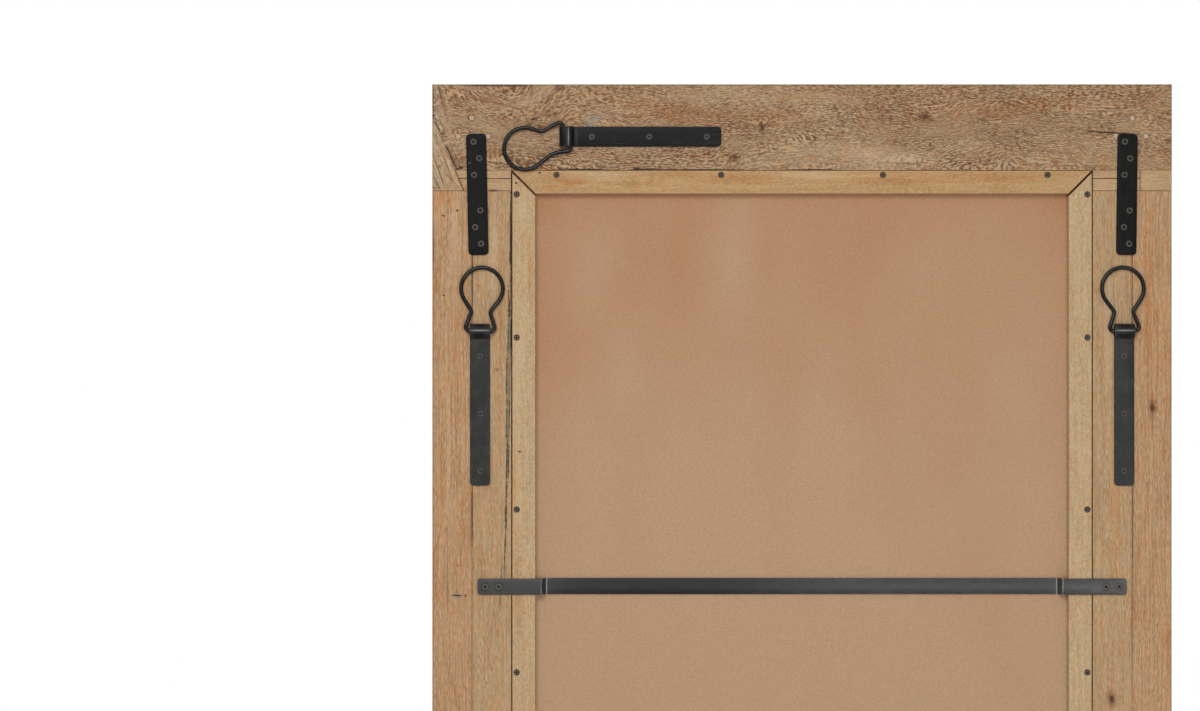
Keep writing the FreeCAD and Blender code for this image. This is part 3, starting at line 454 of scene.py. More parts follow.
# The marks of each board, kind by kind. Each is (from the left edge, from the top edge, half length, half
# width, turn in degrees), in millimetres on the back of the frame. One material can hold about 60
MARKS = {
    "top_rail": {
        "rust": [(90, 3.5, 34, 3.5, 0), (75, 20, 16, 6, 10), (31, 18, 4.5, 3.0, 0), (350, 36, 60, 7, 8),
            (420, 38, 40, 8, 2), (290, 33, 40, 10, 16), (720, 30, 60, 9, -6)],
        "pale": [(14, 34, 30, 6, 78), (22, 56, 16, 1.6, 66), (28.5, 88, 9, 0.9, 64), (560, 88, 50, 6, 4)],
        "halo": [(157, 4.0, 7.0, 4.0, 20), (407, 52.5, 8, 3.6, -10), (374, 90.5, 10, 4.4, 10), (610, 40, 9, 5, 15)],
        "decay": [(14, 24, 20, 2.6, 76), (26.5, 92, 15, 3.4, 65), (96, 27.5, 46, 1.1, 13), (60, 20, 24, 1.0, 10),
            (47.8, 41.3, 5.2, 5.2, 0), (32, 25, 3.0, 2.6, 0), (422, 50, 4, 2.4, 0), (500, 66, 5.0, 2.6, -20)],
        "shade": [(2.5, 40, 6, 1.0, 62), (0.7, 18, 26, 0.9, 90), (157, 4.0, 3.4, 2.4, 20), (119, 49, 4.0, 2.0, -20),
            (133, 52, 4, 2.0, 20), (122, 98, 3.4, 1.2, -14)],
        "chalk": [(4.5, 40, 4, 1.0, 62), (9.5, 52, 4.5, 1.3, 62)],
        "paint": [(201, 42, 8, 3.4, -40), (194, 49, 5, 2.6, 20), (208, 37, 5, 2.4, 60)],
        "putty": [(157, 3.4, 2.4, 1.6, 0)],
        "hairline": [(12, 50, 9, 0.6, 66), (10, 14, 12, 0.8, 80), (29.5, 89.5, 17, 0.5, 64)],
        "knot": [(68, 0.5, 26, 2.0, 0), (100, 0.5, 17, 2.6, 0), (44.6, 42.4, 1.0, 2.8, 0), (408, 53, 3.6, 2.2, 60),
            (374, 90, 3.2, 2.2, 10), (610, 40, 4, 2.5, 15)],
        "crack": [(6.5, 52, 7, 0.5, 62), (1.2, 39, 2.0, 0.9, 90), (23.5, 90, 13, 0.9, 66), (18.5, 79, 5, 1.1, 66),
            (30, 104, 5, 1.2, 66), (34, 103.6, 3.8, 1.2, -4), (126, 43, 4, 1.4, -15), (190, 105.2, 32, 1.0, 0.6),
            (252, 104.6, 3.6, 1.8, 0), (262, 105.6, 18, 1.2, 0), (330, 105.6, 55, 0.7, 0), (470, 105.6, 30, 0.8, 0),
            (840, 60, 30, 1.0, 4)],
    },
    "bottom_rail": {
        "rust": [(640, 1840, 60, 9, 6), (200, 1810, 50, 8, -5)],
        "halo": [(60, 1800, 12, 6, 10), (700, 1806, 9, 5, 0)],
        "shade": [(300, 1868, 40, 1.8, 0)],
        "putty": [(520, 1790, 6, 2.2, 30)],
        "knot": [(60, 1800, 5, 3, 10), (700, 1806, 4, 2.4, 0)],
        "crack": [(430, 1822, 55, 0.9, 2)],
    },
    "left_stile_outer_board": {
        "rust": [(5, 236, 20, 2.0, 88), (47.4, 520, 50, 1.2, 90)],
        "orange": [(3, 150, 14, 2.0, 90), (10, 138, 8, 4, 80), (22, 142, 10, 5, 70), (1.5, 290, 60, 1.6, 90),
            (30, 330, 70, 2.0, 90), (2.0, 620, 60, 2.2, 90), (12, 500, 50, 2, 90), (38, 540, 40, 2.0, 91),
            (24, 1120, 120, 4, 90), (14, 1560, 110, 4, 90)],
        "pale": [(28, 190, 60, 5.0, 90), (20, 450, 70, 2, 90)],
        "halo": [(12, 900, 10, 5, 85)],
        "decay": [(6.5, 565, 17, 0.8, 103), (32, 595, 3, 1.6, 20)],
        "faint": [(19, 600, 60, 0.7, 90), (49.1, 920, 300, 0.5, 90), (49.1, 1500, 280, 0.5, 90)],
        "shade": [(1.0, 200, 30, 1.0, 90), (41, 632, 2.2, 1.6, 0)],
        "putty": [(31, 631.4, 5.2, 3.6, 4)],
        "glue": [(49.0, 532, 38, 0.5, 90), (49.0, 240, 36, 0.6, 90)],
        "knot": [(14, 162.5, 2.6, 1.1, 15), (31, 156, 1.8, 1.4, 0), (14, 261, 1.8, 1.2, 0), (12, 900, 4, 2, 85)],
        "crack": [(30, 631.8, 8, 0.7, 2), (20, 1300, 80, 0.8, 89)],
    },
    "left_stile_inner_board": {
        "orange": [(72, 490, 60, 2.0, 90), (84, 300, 90, 2, 90), (60, 590, 50, 2, 90)],
        "pale": [(76, 210, 60, 4, 90)],
        "halo": [(70, 1000, 9, 6, 85)],
        "decay": [(70, 157, 2.6, 1.4, 80), (56, 250, 2, 1.2, 0), (80, 352, 3, 2.4, 0)],
        "putty": [(86, 1240, 90, 1.6, 90.4)],
        "filling": [(95.2, 312, 36, 2.1, 90.2), (94.0, 376, 38, 1.9, 90.8), (93.2, 436, 40, 1.7, 91.2),
            (91.2, 534, 20, 1.3, 91.8), (89.2, 602, 12, 1.2, 92)],
        "glue": [(49.5, 240, 36, 0.6, 90), (49.5, 532, 38, 0.5, 90)],
        "hairline": [(96.2, 366, 30, 0.4, 90.6), (85, 618, 30, 0.7, 93)],
        "split": [(96.6, 262, 18, 0.6, 90.4), (94.6, 262, 14, 0.6, 90.4), (95.3, 277, 10, 1.7, 90),
            (93.6, 314, 28, 0.6, 90.3), (91.7, 420, 26, 0.6, 91), (95.2, 412, 26, 0.5, 91),
            (92.2, 462, 28, 1.0, 91.2), (94.4, 466, 24, 0.7, 91.2), (91.6, 506, 22, 0.8, 91.4),
            (90.4, 530, 16, 0.8, 91.8), (91.8, 540, 14, 0.5, 91.8), (89.8, 572, 22, 0.7, 92.2)],
        "knot": [(70, 1000, 4, 3, 85)],
        "crack": [(96.7, 186, 62, 0.9, 90), (95.9, 214, 10, 0.9, 90), (97.0, 308, 26, 0.7, 90),
            (91.8, 362, 28, 0.7, 90.9), (75, 131.8, 7.0, 0.6, 0), (87, 1250, 60, 0.9, 90.4)],
    },
    "right_stile_outer_board": {
        "orange": [(910, 700, 60, 1.8, 90), (885, 250, 80, 5, 90), (895, 1300, 120, 5, 90)],
        "halo": [(890, 400, 12, 5, 88)],
        "putty": [(880, 1500, 8, 3, 80)],
        "hairline": [(865.2, 430, 280, 0.7, 90), (865.2, 1250, 400, 0.7, 90)],
        "knot": [(890, 400, 5, 2.6, 88)],
        "crack": [(900, 1100, 90, 0.8, 90)],
    },
    "right_stile_inner_board": {
        "orange": [(845, 500, 90, 4, 90)],
        "pale": [(835, 300, 70, 4, 90)],
        "halo": [(840, 760, 10, 6, 80)],
        "knot": [(840, 760, 4.5, 2.8, 80)],
        "crack": [(828, 1250, 70, 0.9, 90)],
    },
    "top_left_corner_patch": {
        "pale": [(20, 100, 26, 1.0, 68)],
        "decay": [(5, 74, 1.5, 2.0, 80), (8, 88, 1.8, 1.6, 10), (9, 101, 2.0, 2.2, 60), (18, 113, 1.4, 1.6, 60)],
        "faint": [(14, 88, 30, 1.0, 70), (8, 106, 20, 0.8, 74), (24, 120, 12, 0.8, 66), (5, 100, 24, 0.7, 72)],
        "shade": [(6, 122, 2.4, 1.1, 50), (2.5, 128, 2.6, 1.3, 10)],
        "putty": [(4, 118, 5, 0.9, 66), (2, 62, 6, 1.0, 70)],
        "hairline": [(8, 127, 3, 0.7, 50), (12, 118, 12, 0.6, 72)],
    },
    "top_left_rebate_fillers": {
        "orange": [(40, 126, 14, 2.4, 0)],
        "pale": [(80, 114, 14, 2, 0)],
        "decay": [(58, 104.5, 40, 0.8, 0), (34, 122, 6, 2.0, 66)],
        "crack": [(75, 130.6, 6.0, 0.5, 0)],
    },
    "top_batten": {
        "rust": [(160, 117, 16, 4, 4), (178, 121, 14, 4, -4), (247, 124, 12, 4.5, 6), (268, 121, 9, 3.4, -30),
            (300, 112, 24, 4, 0), (380, 118, 50, 4, 0), (560, 120, 40, 5, 0), (700, 116, 50, 4, 0)],
        "pale": [(470, 112, 40, 4, 2), (210, 112, 30, 4, 0)],
        "knot": [(132.6, 109.2, 1.6, 1.5, 0)],
    },
    "left_batten": {
        "rust": [(106, 620, 60, 4, 90)],
        "orange": [(121, 230, 40, 3, 88), (101, 500, 60, 3, 90)],
        "pale": [(110, 330, 30, 6, 90), (104, 380, 50, 4, 90), (112, 160, 20, 7, 90)],
        "knot": [(103.5, 122, 1.7, 1.6, 0), (108, 454, 1.6, 1.6, 0)],
    },
}

# Where the grain runs round a knot: (from the left edge, from the top edge, half length, half width,
# how far it is lifted), in millimetres
SWERVES = {
    "top_rail": (
        (106, 20, 64, 38, 36), (170, -6, 54, 36, -26), (55, 70, 50, 34, -16), (408, 53, 26, 12, 9),
        (376, 112, 80, 26, 17), (250, 30, 90, 30, -14), (610, 40, 50, 22, 14), (800, 70, 80, 30, -14)),
    "bottom_rail": ((60, 1800, 46, 26, 14), (700, 1806, 70, 30, -16), (380, 1836, 80, 30, 18)),
}
# How far into the board a mark and a swerve reach, and how far in from an arris the wood is soiled
MARK_DEPTH, SWERVE_DEPTH, ARRIS_WIDTH = 0.012, 0.030, 0.003
GRIME = (0.13, 0.065, 0.032)


def on_back(from_left, from_top):
    """A place on the back of the frame, from millimetres off its left and top edges."""
    return LEFT_X - from_left * MM, BACK_Y, TOP_Z - from_top * MM


def add_marks(tree, where, shade, height, marks):
    """Lays a board's marks over its colour, kind after kind, and sinks the deep ones."""
    if not marks:
        return shade, height
    shake = tree.noise(where, 210.0, 3.0, 0.7)["Color"] - (0.5, 0.5, 0.5)
    for kind, (blend, paint, strength, waver, softness, ragged, sink) in MARK_KINDS.items():
        mask = None
        for from_left, from_top, half_length, half_width, turn in marks.get(kind, ()):
            one = tree.place(mark_group, {
                "Vector": where, "Shake": shake, "Centre": on_back(from_left, from_top),
                "Half Size": (half_length * MM, MARK_DEPTH, half_width * MM), "Turn": math.radians(turn),
                "Waver": waver * MM * min(1.0, half_width / 2.5), "Softness": softness, "Ragged": ragged})
            mask = tree.math("MAXIMUM", mask, one) if mask else one
        if mask:
            shade = tree.mix(mask * strength, shade, paint, blend)
        if mask and sink:
            height = height - mask * sink
    return shade, height


def board_material(name, look, turn, seed, node=None, relief=0.00035, boxed=False, tint=None):
    """Wood for one board: the grain along X turned into place, its marks and its dark arrises."""
    material, tree, where = new_material(name)
    rng = random.Random(seed)
    drift = [rng.uniform(-9.0, 9.0) for _ in range(3)]
    bent = where
    for from_left, from_top, half_length, half_width, lift in SWERVES.get(node, ()):
        bent = tree.place(swerve_group, {
            "Vector": bent, "Centre": on_back(from_left, from_top),
            "Half Size": (half_length * MM, SWERVE_DEPTH, half_width * MM), "Lift": (0.0, 0.0, lift * MM)})
    placed = tree.node("Mapping", {"Vector": bent, "Location": drift, "Rotation": face_grain(turn)})
    inputs = {key: opaque(getattr(look, key)) if kind is colour else getattr(look, key)
              for key, kind, *_ in WOOD_SETTINGS}
    wood = tree.place(board_group, {"Vector": placed, **inputs})
    shade = wood["Color"]
    if tint:
        shade = tree.mix(1.0, shade, tint, "MULTIPLY")
    if boxed:
        low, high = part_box(node)
        corners = {"Low": low, "High": high, "Width": ARRIS_WIDTH}
        grime_and_shade = tree.place(arris_group, {"Vector": where, **corners}) * 0.32
    else:
        grime_and_shade = tree.attribute("edge_wear_and_highlight") * 0.75
    shade = tree.mix(grime_and_shade, shade, GRIME)
    shade, height = add_marks(tree, where, shade, wood["Height"], MARKS.get(node))
    finish_material(tree, shade, wood["Roughness"], height, relief, 0.8)
    return material


def face_grain(turn):
    """Rotation that puts the grain along a direction of the back face: 0 is along X, 90 along Z.

    The board group takes X along the grain and Y across the face, so the face is laid flat first.
    """
    return (Matrix.Rotation(-QUARTER, 3, "X") @ Matrix.Rotation(math.radians(turn), 3, "Y")).to_euler()


# Pieces

# How far each corner plate is turned out of true, in degrees
PLATE_TILTS = {"top_left": 1.2, "top_right": -0.7, "bottom_left": -0.5, "bottom_right": 0.8}
PLATE_HALF_LENGTH = 0.075
# Half the width of the flat stock of plates and straps
STOCK_HALF_WIDTH = 0.0125
# Corners nearer to each other than this are one
WELD = 1e-6


def link(mesh_object):
    bpy.context.scene.collection.objects.link(mesh_object)
    return mesh_object


def mesh_of(bm, name):
    """Turns a bmesh into a mesh, and frees it."""
    mesh = bpy.data.meshes.new(name)
    bm.to_mesh(mesh)
    bm.free()
    return mesh


def finished(bm, name, material, nodes, body="mirror", angle=35.0):
    """Turns a bmesh into an object that rides on a body in the place of CAD nodes."""
    mesh = mesh_of(bm, name)
    mesh.materials.append(material)
    mesh.shade_smooth()
    mesh.set_sharp_from_angle(angle=math.radians(angle))
    piece = link(bpy.data.objects.new(name, mesh))
    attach(piece, body)
    if nodes:
        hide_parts(*nodes)
    return piece


def dress(node, material):
    """Gives a CAD node its material."""
    piece = frame["nodes"][node]
    piece.data.materials.clear()
    piece.data.materials.append(material)


def only(kind, geometry):
    return [item for item in geometry if isinstance(item, kind)]


def sharp_edges(bm, least=50.0):
    """Edges where two faces meet at more than an angle in degrees."""
    return [e for e in bm.edges if len(e.link_faces) == 2 and e.calc_face_angle(0.0) > math.radians(least)]


def round_edges(bm, edges, radius, segments=2):
    """Rounds edges and notes the new faces as worn, for the material to read."""
    wear_and_highlight = bm.faces.layers.float.get("edge_wear_and_highlight") or bm.faces.layers.float.new("edge_wear_and_highlight")
    made = bmesh.ops.bevel(bm, geom=edges, offset=radius, offset_type="OFFSET", segments=segments,
                           profile=0.5, affect="EDGES", clamp_overlap=True, material=-1)
    for face in made["faces"]:
        face[wear_and_highlight] = 1.0


def softened(node, name, material, radius):
    """A copy of a CAD node made of flat faces, its edges rounded."""
    bm = bmesh.new()
    bm.from_mesh(frame["nodes"][node].data)
    bmesh.ops.remove_doubles(bm, verts=bm.verts, dist=WELD)
    bmesh.ops.dissolve_limit(bm, angle_limit=math.radians(0.5), verts=bm.verts, edges=bm.edges)
    round_edges(bm, sharp_edges(bm), radius)
    return finished(bm, name, material, [node])


def holed_plate(bm, near, far, half_width, thickness, corner, hole_places, sizes, far_rounded=True):
    """Flat stock from z near to z far with countersunk holes, on y from 0 up. Gives the face at its far end."""
    corners = [(-half_width, near), (half_width, near), (half_width, far), (-half_width, far)]
    verts = [bm.verts.new((x, 0.0, z)) for x, z in corners]
    bm.faces.new(verts)
    rounded = verts if far_rounded else verts[:2]
    bmesh.ops.bevel(bm, geom=rounded, offset=corner, offset_type="OFFSET", segments=6, profile=0.5,
                    affect="VERTICES", clamp_overlap=False, material=-1)
    outline = bm.edges[:]
    bmesh.ops.delete(bm, geom=bm.faces[:], context="FACES_ONLY")
    narrow = sizes.shank_radius + sizes.hole_clearance
    lie_flat = Matrix.Rotation(QUARTER, 4, "X")
    for x, z in hole_places:
        at = Matrix.Translation((x, 0.0, z)) @ lie_flat
        bmesh.ops.create_circle(bm, cap_ends=False, segments=sizes.head_sides, radius=narrow, matrix=at)
    edges = outline + [e for e in bm.edges if e not in set(outline)]
    bmesh.ops.triangle_fill(bm, use_beauty=True, use_dissolve=False, edges=edges)
    top = bmesh.ops.extrude_face_region(bm, geom=bm.faces[:])
    lifted = only(bmesh.types.BMVert, top["geom"])
    bmesh.ops.translate(bm, verts=lifted, vec=(0.0, thickness, 0.0))
    widen = (sizes.head_radius + sizes.hole_clearance) / narrow
    for x, z in hole_places:
        rim = [v for v in lifted if abs(math.hypot(v.co.x - x, v.co.z - z) - narrow) < WELD]
        bmesh.ops.scale(bm, vec=(widen, 1.0, widen), verts=rim,
                        space=Matrix.Translation((-x, -thickness, -z)))
    bmesh.ops.recalc_face_normals(bm, faces=bm.faces)
    ends = [f for f in bm.faces if all(abs(v.co.z - far) < WELD for v in f.verts)]
    return ends[0] if ends else None


def run_on(bm, face, travel):
    """Pushes the end face of a strip along, and gives it back."""
    made = bmesh.ops.extrude_face_region(bm, geom=[face])
    bmesh.ops.translate(bm, verts=only(bmesh.types.BMVert, made["geom"]), vec=travel)
    bmesh.ops.delete(bm, geom=[face], context="FACES_ONLY")
    return only(bmesh.types.BMFace, made["geom"])[0]


def bend_on(bm, face, centre, axis_x, angle, steps):
    """Bends a strip on from its end face, and gives the new end."""
    made = bmesh.ops.spin(bm, geom=[face], cent=centre, axis=(axis_x, 0, 0), dvec=(0, 0, 0), angle=angle,
                          steps=steps, use_duplicate=False)
    return only(bmesh.types.BMFace, made["geom_last"])[0]


def tidy(bm):
    bmesh.ops.remove_doubles(bm, verts=bm.verts, dist=WELD)
    bmesh.ops.recalc_face_normals(bm, faces=bm.faces)


def put(bm, place):
    """Moves a whole bmesh into place."""
    bmesh.ops.transform(bm, matrix=place, verts=bm.verts)


# Materials of the steelwork

BLACK = (0.003, 0.003, 0.003)


def steel_material(name, tint, steel, roughness, grain_turn=(0.0, 0.0, 0.0), brushed=0.0, specular=0.35, marks_and_painted_light=()):
    """Black or grey steel with smudges, scratches, dust and rubbed edges; the rubbed crests and bends are partly
    painted highlight.

    Each laid mark or band, many of them painted highlight or painted shade, is its middle, its half size, its colour
    and its strength.
    """
    material, tree, where = new_material(name)
    marks = tree.place(steel_group, {"Vector": tree.node("Mapping", {"Vector": where, "Rotation": grain_turn})})
    lighter = [min(1.0, c * 1.7 + 0.004) for c in tint]
    shade = tree.mix(marks["Smudge"] * 0.6, tint, lighter)
    shade = tree.mix(marks["Scratch"] * (0.10 + brushed), shade, steel.bare)
    shade = tree.mix(marks["Dust"] * 0.10, shade, (0.45, 0.42, 0.37))
    torn = tree.step(tree.noise(where, 240.0, 3.0, 0.6), 0.38, 0.60)
    # The crest of a ring's wire, facing out from the wood, is made bright: partly wear, partly painted highlight
    crest = tree.step(tree.attribute("crest"), 0.86, 1.0) * 0.12
    wear_and_painted_highlight = tree.math("MAXIMUM", tree.attribute("edge_wear_and_highlight"), crest)
    shade = tree.mix(wear_and_painted_highlight * torn * steel.edge_wear_and_highlight, shade, steel.bare)
    # Marks and bands laid over the steel, most of them painted highlight, painted shade or painted reflection
    for centre, half, paint, strength in marks_and_painted_light:
        mask = tree.place(mark_group, {
            "Vector": where, "Shake": (0.0, 0.0, 0.0), "Centre": centre, "Half Size": half, "Turn": 0.0,
            "Waver": 0.0, "Softness": 0.7, "Ragged": 0.0})
        shade = tree.mix(mask * strength, shade, paint)
    finish_material(tree, shade, roughness + marks["Smudge"] * 0.12, marks["Height"], 0.00008, 0.7, specular)
    return material


# Screws

def screw_template(sizes, long, head_depth, recess_depth, spread):
    """One screw with a cross recess, head up along +Z and its top at the origin."""
    bm = bmesh.new()
    recessed = bm.faces.layers.float.new("recess")
    flat_radius = sizes.head_radius * 0.96
    bmesh.ops.create_circle(bm, cap_ends=False, segments=sizes.head_sides, radius=flat_radius)
    outer = bm.edges[:]
    reach, half = sizes.recess_reach * spread, sizes.recess_half_width * spread
    corners = []
    for quarter in range(4):
        turn = Matrix.Rotation(QUARTER * quarter, 3, "Z")
        corners += [turn @ Vector(p) for p in ((reach, -half, 0), (reach, half, 0), (half * 1.5, half * 1.5, 0))]
    verts = [bm.verts.new(c) for c in corners]
    recess = [bm.edges.new((verts[i - 1], verts[i])) for i in range(len(verts))]
    bmesh.ops.triangle_fill(bm, use_beauty=True, use_dissolve=False, edges=outer + recess)
    inside = [f for f in bm.faces if all(v in verts for v in f.verts)]
    if inside:
        bmesh.ops.delete(bm, geom=inside, context="FACES_ONLY")
    sunk = bmesh.ops.extrude_edge_only(bm, edges=recess)["geom"]
    low = only(bmesh.types.BMVert, sunk)
    bmesh.ops.translate(bm, verts=low, vec=(0, 0, -recess_depth))
    bmesh.ops.scale(bm, verts=low, vec=(0.8, 0.8, 1.0))
    bmesh.ops.edgeloop_fill(bm, edges=only(bmesh.types.BMEdge, sunk))
    for face in bm.faces:
        if any(v in low for v in face.verts):
            face[recessed] = 1.0
    edges, last, drop = outer, flat_radius, 0.0
    stations = ((-0.00015, sizes.head_radius), (-head_depth, sizes.shank_radius), (-long, sizes.tip_radius))
    for depth, radius in stations:
        made = bmesh.ops.extrude_edge_only(bm, edges=edges)["geom"]
        ring = only(bmesh.types.BMVert, made)
        bmesh.ops.scale(bm, verts=ring, vec=(radius / last, radius / last, 1.0))
        bmesh.ops.translate(bm, verts=ring, vec=(0, 0, depth - drop))
        edges, last, drop = only(bmesh.types.BMEdge, made), radius, depth
    bmesh.ops.edgeloop_fill(bm, edges=edges)
    tidy(bm)
    return mesh_of(bm, "screw_template")


def drive_screws(template, places, seed, proud):
    """Copies of a screw at places on the back, each turned its own way and driven its own depth."""
    rng = random.Random(seed)
    bm = bmesh.new()
    face_back = Matrix.Rotation(-QUARTER, 4, "X")
    for place in places:
        start = len(bm.verts)
        bm.from_mesh(template)
        bm.verts.ensure_lookup_table()
        lean = Matrix.Rotation(math.radians(rng.uniform(-1.0, 1.0)), 4, "X")
        turn = Matrix.Rotation(rng.uniform(0, math.pi / 2), 4, "Z")
        at = Matrix.Translation(Vector(place) + Vector((0, proud + rng.uniform(-0.08, 0.05) * MM, 0)))
        bmesh.ops.transform(bm, matrix=at @ face_back @ lean @ turn, verts=bm.verts[start:])
    return bm


def screw_heads(node):
    """Tops of the screws of a CAD node: the middle of each loose part, at its back face."""
    bm = bmesh.new()
    bm.from_mesh(frame["nodes"][node].data)
    bmesh.ops.remove_doubles(bm, verts=bm.verts, dist=WELD)
    left, heads = set(bm.verts), []
    while left:
        seed = left.pop()
        island, queue = [seed], [seed]
        while queue:
            for edge in queue.pop().link_edges:
                for vert in left.intersection(edge.verts):
                    left.discard(vert)
                    island.append(vert)
                    queue.append(vert)
        top = max(v.co.y for v in island)
        rim = [v.co for v in island if v.co.y > top - 1e-5]
        middle = sum(rim, Vector()) / len(rim)
        heads.append((round(middle.x, 6), round(top, 6), round(middle.z, 6)))
    bm.free()
    return sorted(heads)


def holes_in(heads, place, near, far, half_width):
    """Where screws go through flat stock whose own frame is placed so, as (x, z) in that frame."""
    local = [place.inverted() @ Vector(head) for head in heads]
    return [(h.x, h.z) for h in local if abs(h.x) < half_width and near < h.z < far]


def screw_material(name, tint, bright):
    """Screw heads: painted shade in the recess, rubbed lighter in patches on the flat of the head."""
    material, tree, where = new_material(name)
    marks = tree.place(steel_group, {"Vector": where})
    patchy = tree.step(tree.noise(where, 330.0, 3.0, 0.6), 0.35, 0.62)
    shade = tree.mix(patchy * bright, tint, (0.20, 0.19, 0.17))
    shade = tree.mix(marks["Dust"] * 0.3, shade, (0.40, 0.36, 0.30))
    # The faces of the cross recess are painted near black: painted shade
    shade = tree.mix(tree.attribute("recess"), shade, (0.006, 0.005, 0.004))
    finish_material(tree, shade, 0.45 + patchy * 0.15, marks["Height"], 0.00006, 0.8)
    return material


# Operators

class Piece(bpy.types.Operator):
    """Makes pieces of the floor mirror."""
    bl_options = {"REGISTER", "UNDO"}

    def execute(self, context):
        self.make(context.scene.floor_mirror)
        return {"FINISHED"}


class MIRROR_OT_rails(Piece):
    """Wood of the two rails, each with a lively grain along its length."""
    bl_idname = "floor_mirror.rails"
    bl_label = "Rails"

    def make(self, look):
        for seed, node in ((11, "top_rail"), (12, "bottom_rail")):
            dress(node, board_material(f"{node}_wood", look.rail, 0, seed, node, boxed=True))


class MIRROR_OT_stiles(Piece):
    """Wood of the two boards of each stile, straight grained."""
    bl_idname = "floor_mirror.stiles"
    bl_label = "Stiles"

    def make(self, look):
        for seed, side in ((26, "left"), (31, "right")):
            for board in ("outer_board", "inner_board"):
                node = f"{side}_stile_{board}"
                wood = board_material(f"{node}_wood", getattr(look, board), 90, seed, node, 0.00025, boxed=True)
                dress(node, wood)


class MIRROR_OT_fillers(Piece):
    """Strips and blocks that plug the rebate, the slanting patch, and the pegs of the joints."""
    bl_idname = "floor_mirror.fillers"
    bl_label = "Fillers, patch and pegs"

    def make(self, look):
        sizes = look.sizes
        material = board_material("rebate_filler_wood", look.filler, 0, 41, "top_left_rebate_fillers")
        for corner in PLATE_TILTS:
            softened(f"{corner}_rebate_fillers", f"{corner}_rebate_filler_strips", material,
                     sizes.wood_round)
        patch = board_material("corner_patch_wood", look.patch, 66, 43, "top_left_corner_patch")
        softened("top_left_corner_patch", "corner_patch", patch, sizes.wood_round)
        self.pegs(look)

    def pegs(self, look):
        """Whittled pegs: uneven twelve-sided rods, each standing a little proud or shy."""
        rng = random.Random(5)
        bm = bmesh.new()
        for head in map(Vector, screw_heads("tenon_pegs")):
            start = len(bm.verts)
            at = Matrix.Translation(head) @ Matrix.Rotation(-QUARTER, 4, "X")
            ring = bmesh.ops.create_circle(bm, cap_ends=True, segments=12, radius=look.sizes.peg_radius, matrix=at)
            for vert in ring["verts"]:
                vert.co = head + (vert.co - head) * rng.uniform(0.90, 1.0)
            bm.verts.ensure_lookup_table()
            cap = ring["verts"][0].link_faces[0]
            made = bmesh.ops.extrude_face_region(bm, geom=[cap], use_keep_orig=True)
            bmesh.ops.translate(bm, verts=only(bmesh.types.BMVert, made["geom"]), vec=(0, -0.030, 0))
            bmesh.ops.translate(bm, verts=bm.verts[start:], vec=(0, rng.uniform(-0.1, 0.2) * MM, 0))
        tidy(bm)
        round_edges(bm, sharp_edges(bm, 70.0), 0.0004)
        material = board_material("peg_end_grain", look.peg, 35, 47)
        finished(bm, "whittled_pegs", material, ["tenon_pegs"])


class MIRROR_OT_battens(Piece):
    """Four mitred battens with softened edges."""
    bl_idname = "floor_mirror.battens"
    bl_label = "Battens"

    def make(self, look):
        lying, upright = (0, (0.91, 0.81, 0.66)), (90, (0.96, 0.97, 0.96))
        sides = (("top", *lying), ("bottom", *lying), ("left", *upright), ("right", *upright))
        for seed, (side, turn, tint) in enumerate(sides, 61):
            node = f"{side}_batten"
            material = board_material(f"{node}_wood", look.batten, turn, seed, node, 0.0002, tint=tint)
            softened(node, f"{side}_glazing_batten", material, look.sizes.wood_round)


# Soft stains of the hardboard: (from the left edge, from the top edge, half width, half height) in
# millimetres, and how warm they are, or how pale under 0
PANEL_STAINS = (
    (202, 215, 46, 80, -0.38), (372, 215, 34, 95, -0.34), (240, 345, 36, 85, -0.32), (315, 270, 36, 120, 0.14),
    (165, 330, 40, 65, 0.10), (490, 450, 60, 70, -0.25), (420, 345, 80, 45, 0.16), (139, 370, 50, 280, 0.20))


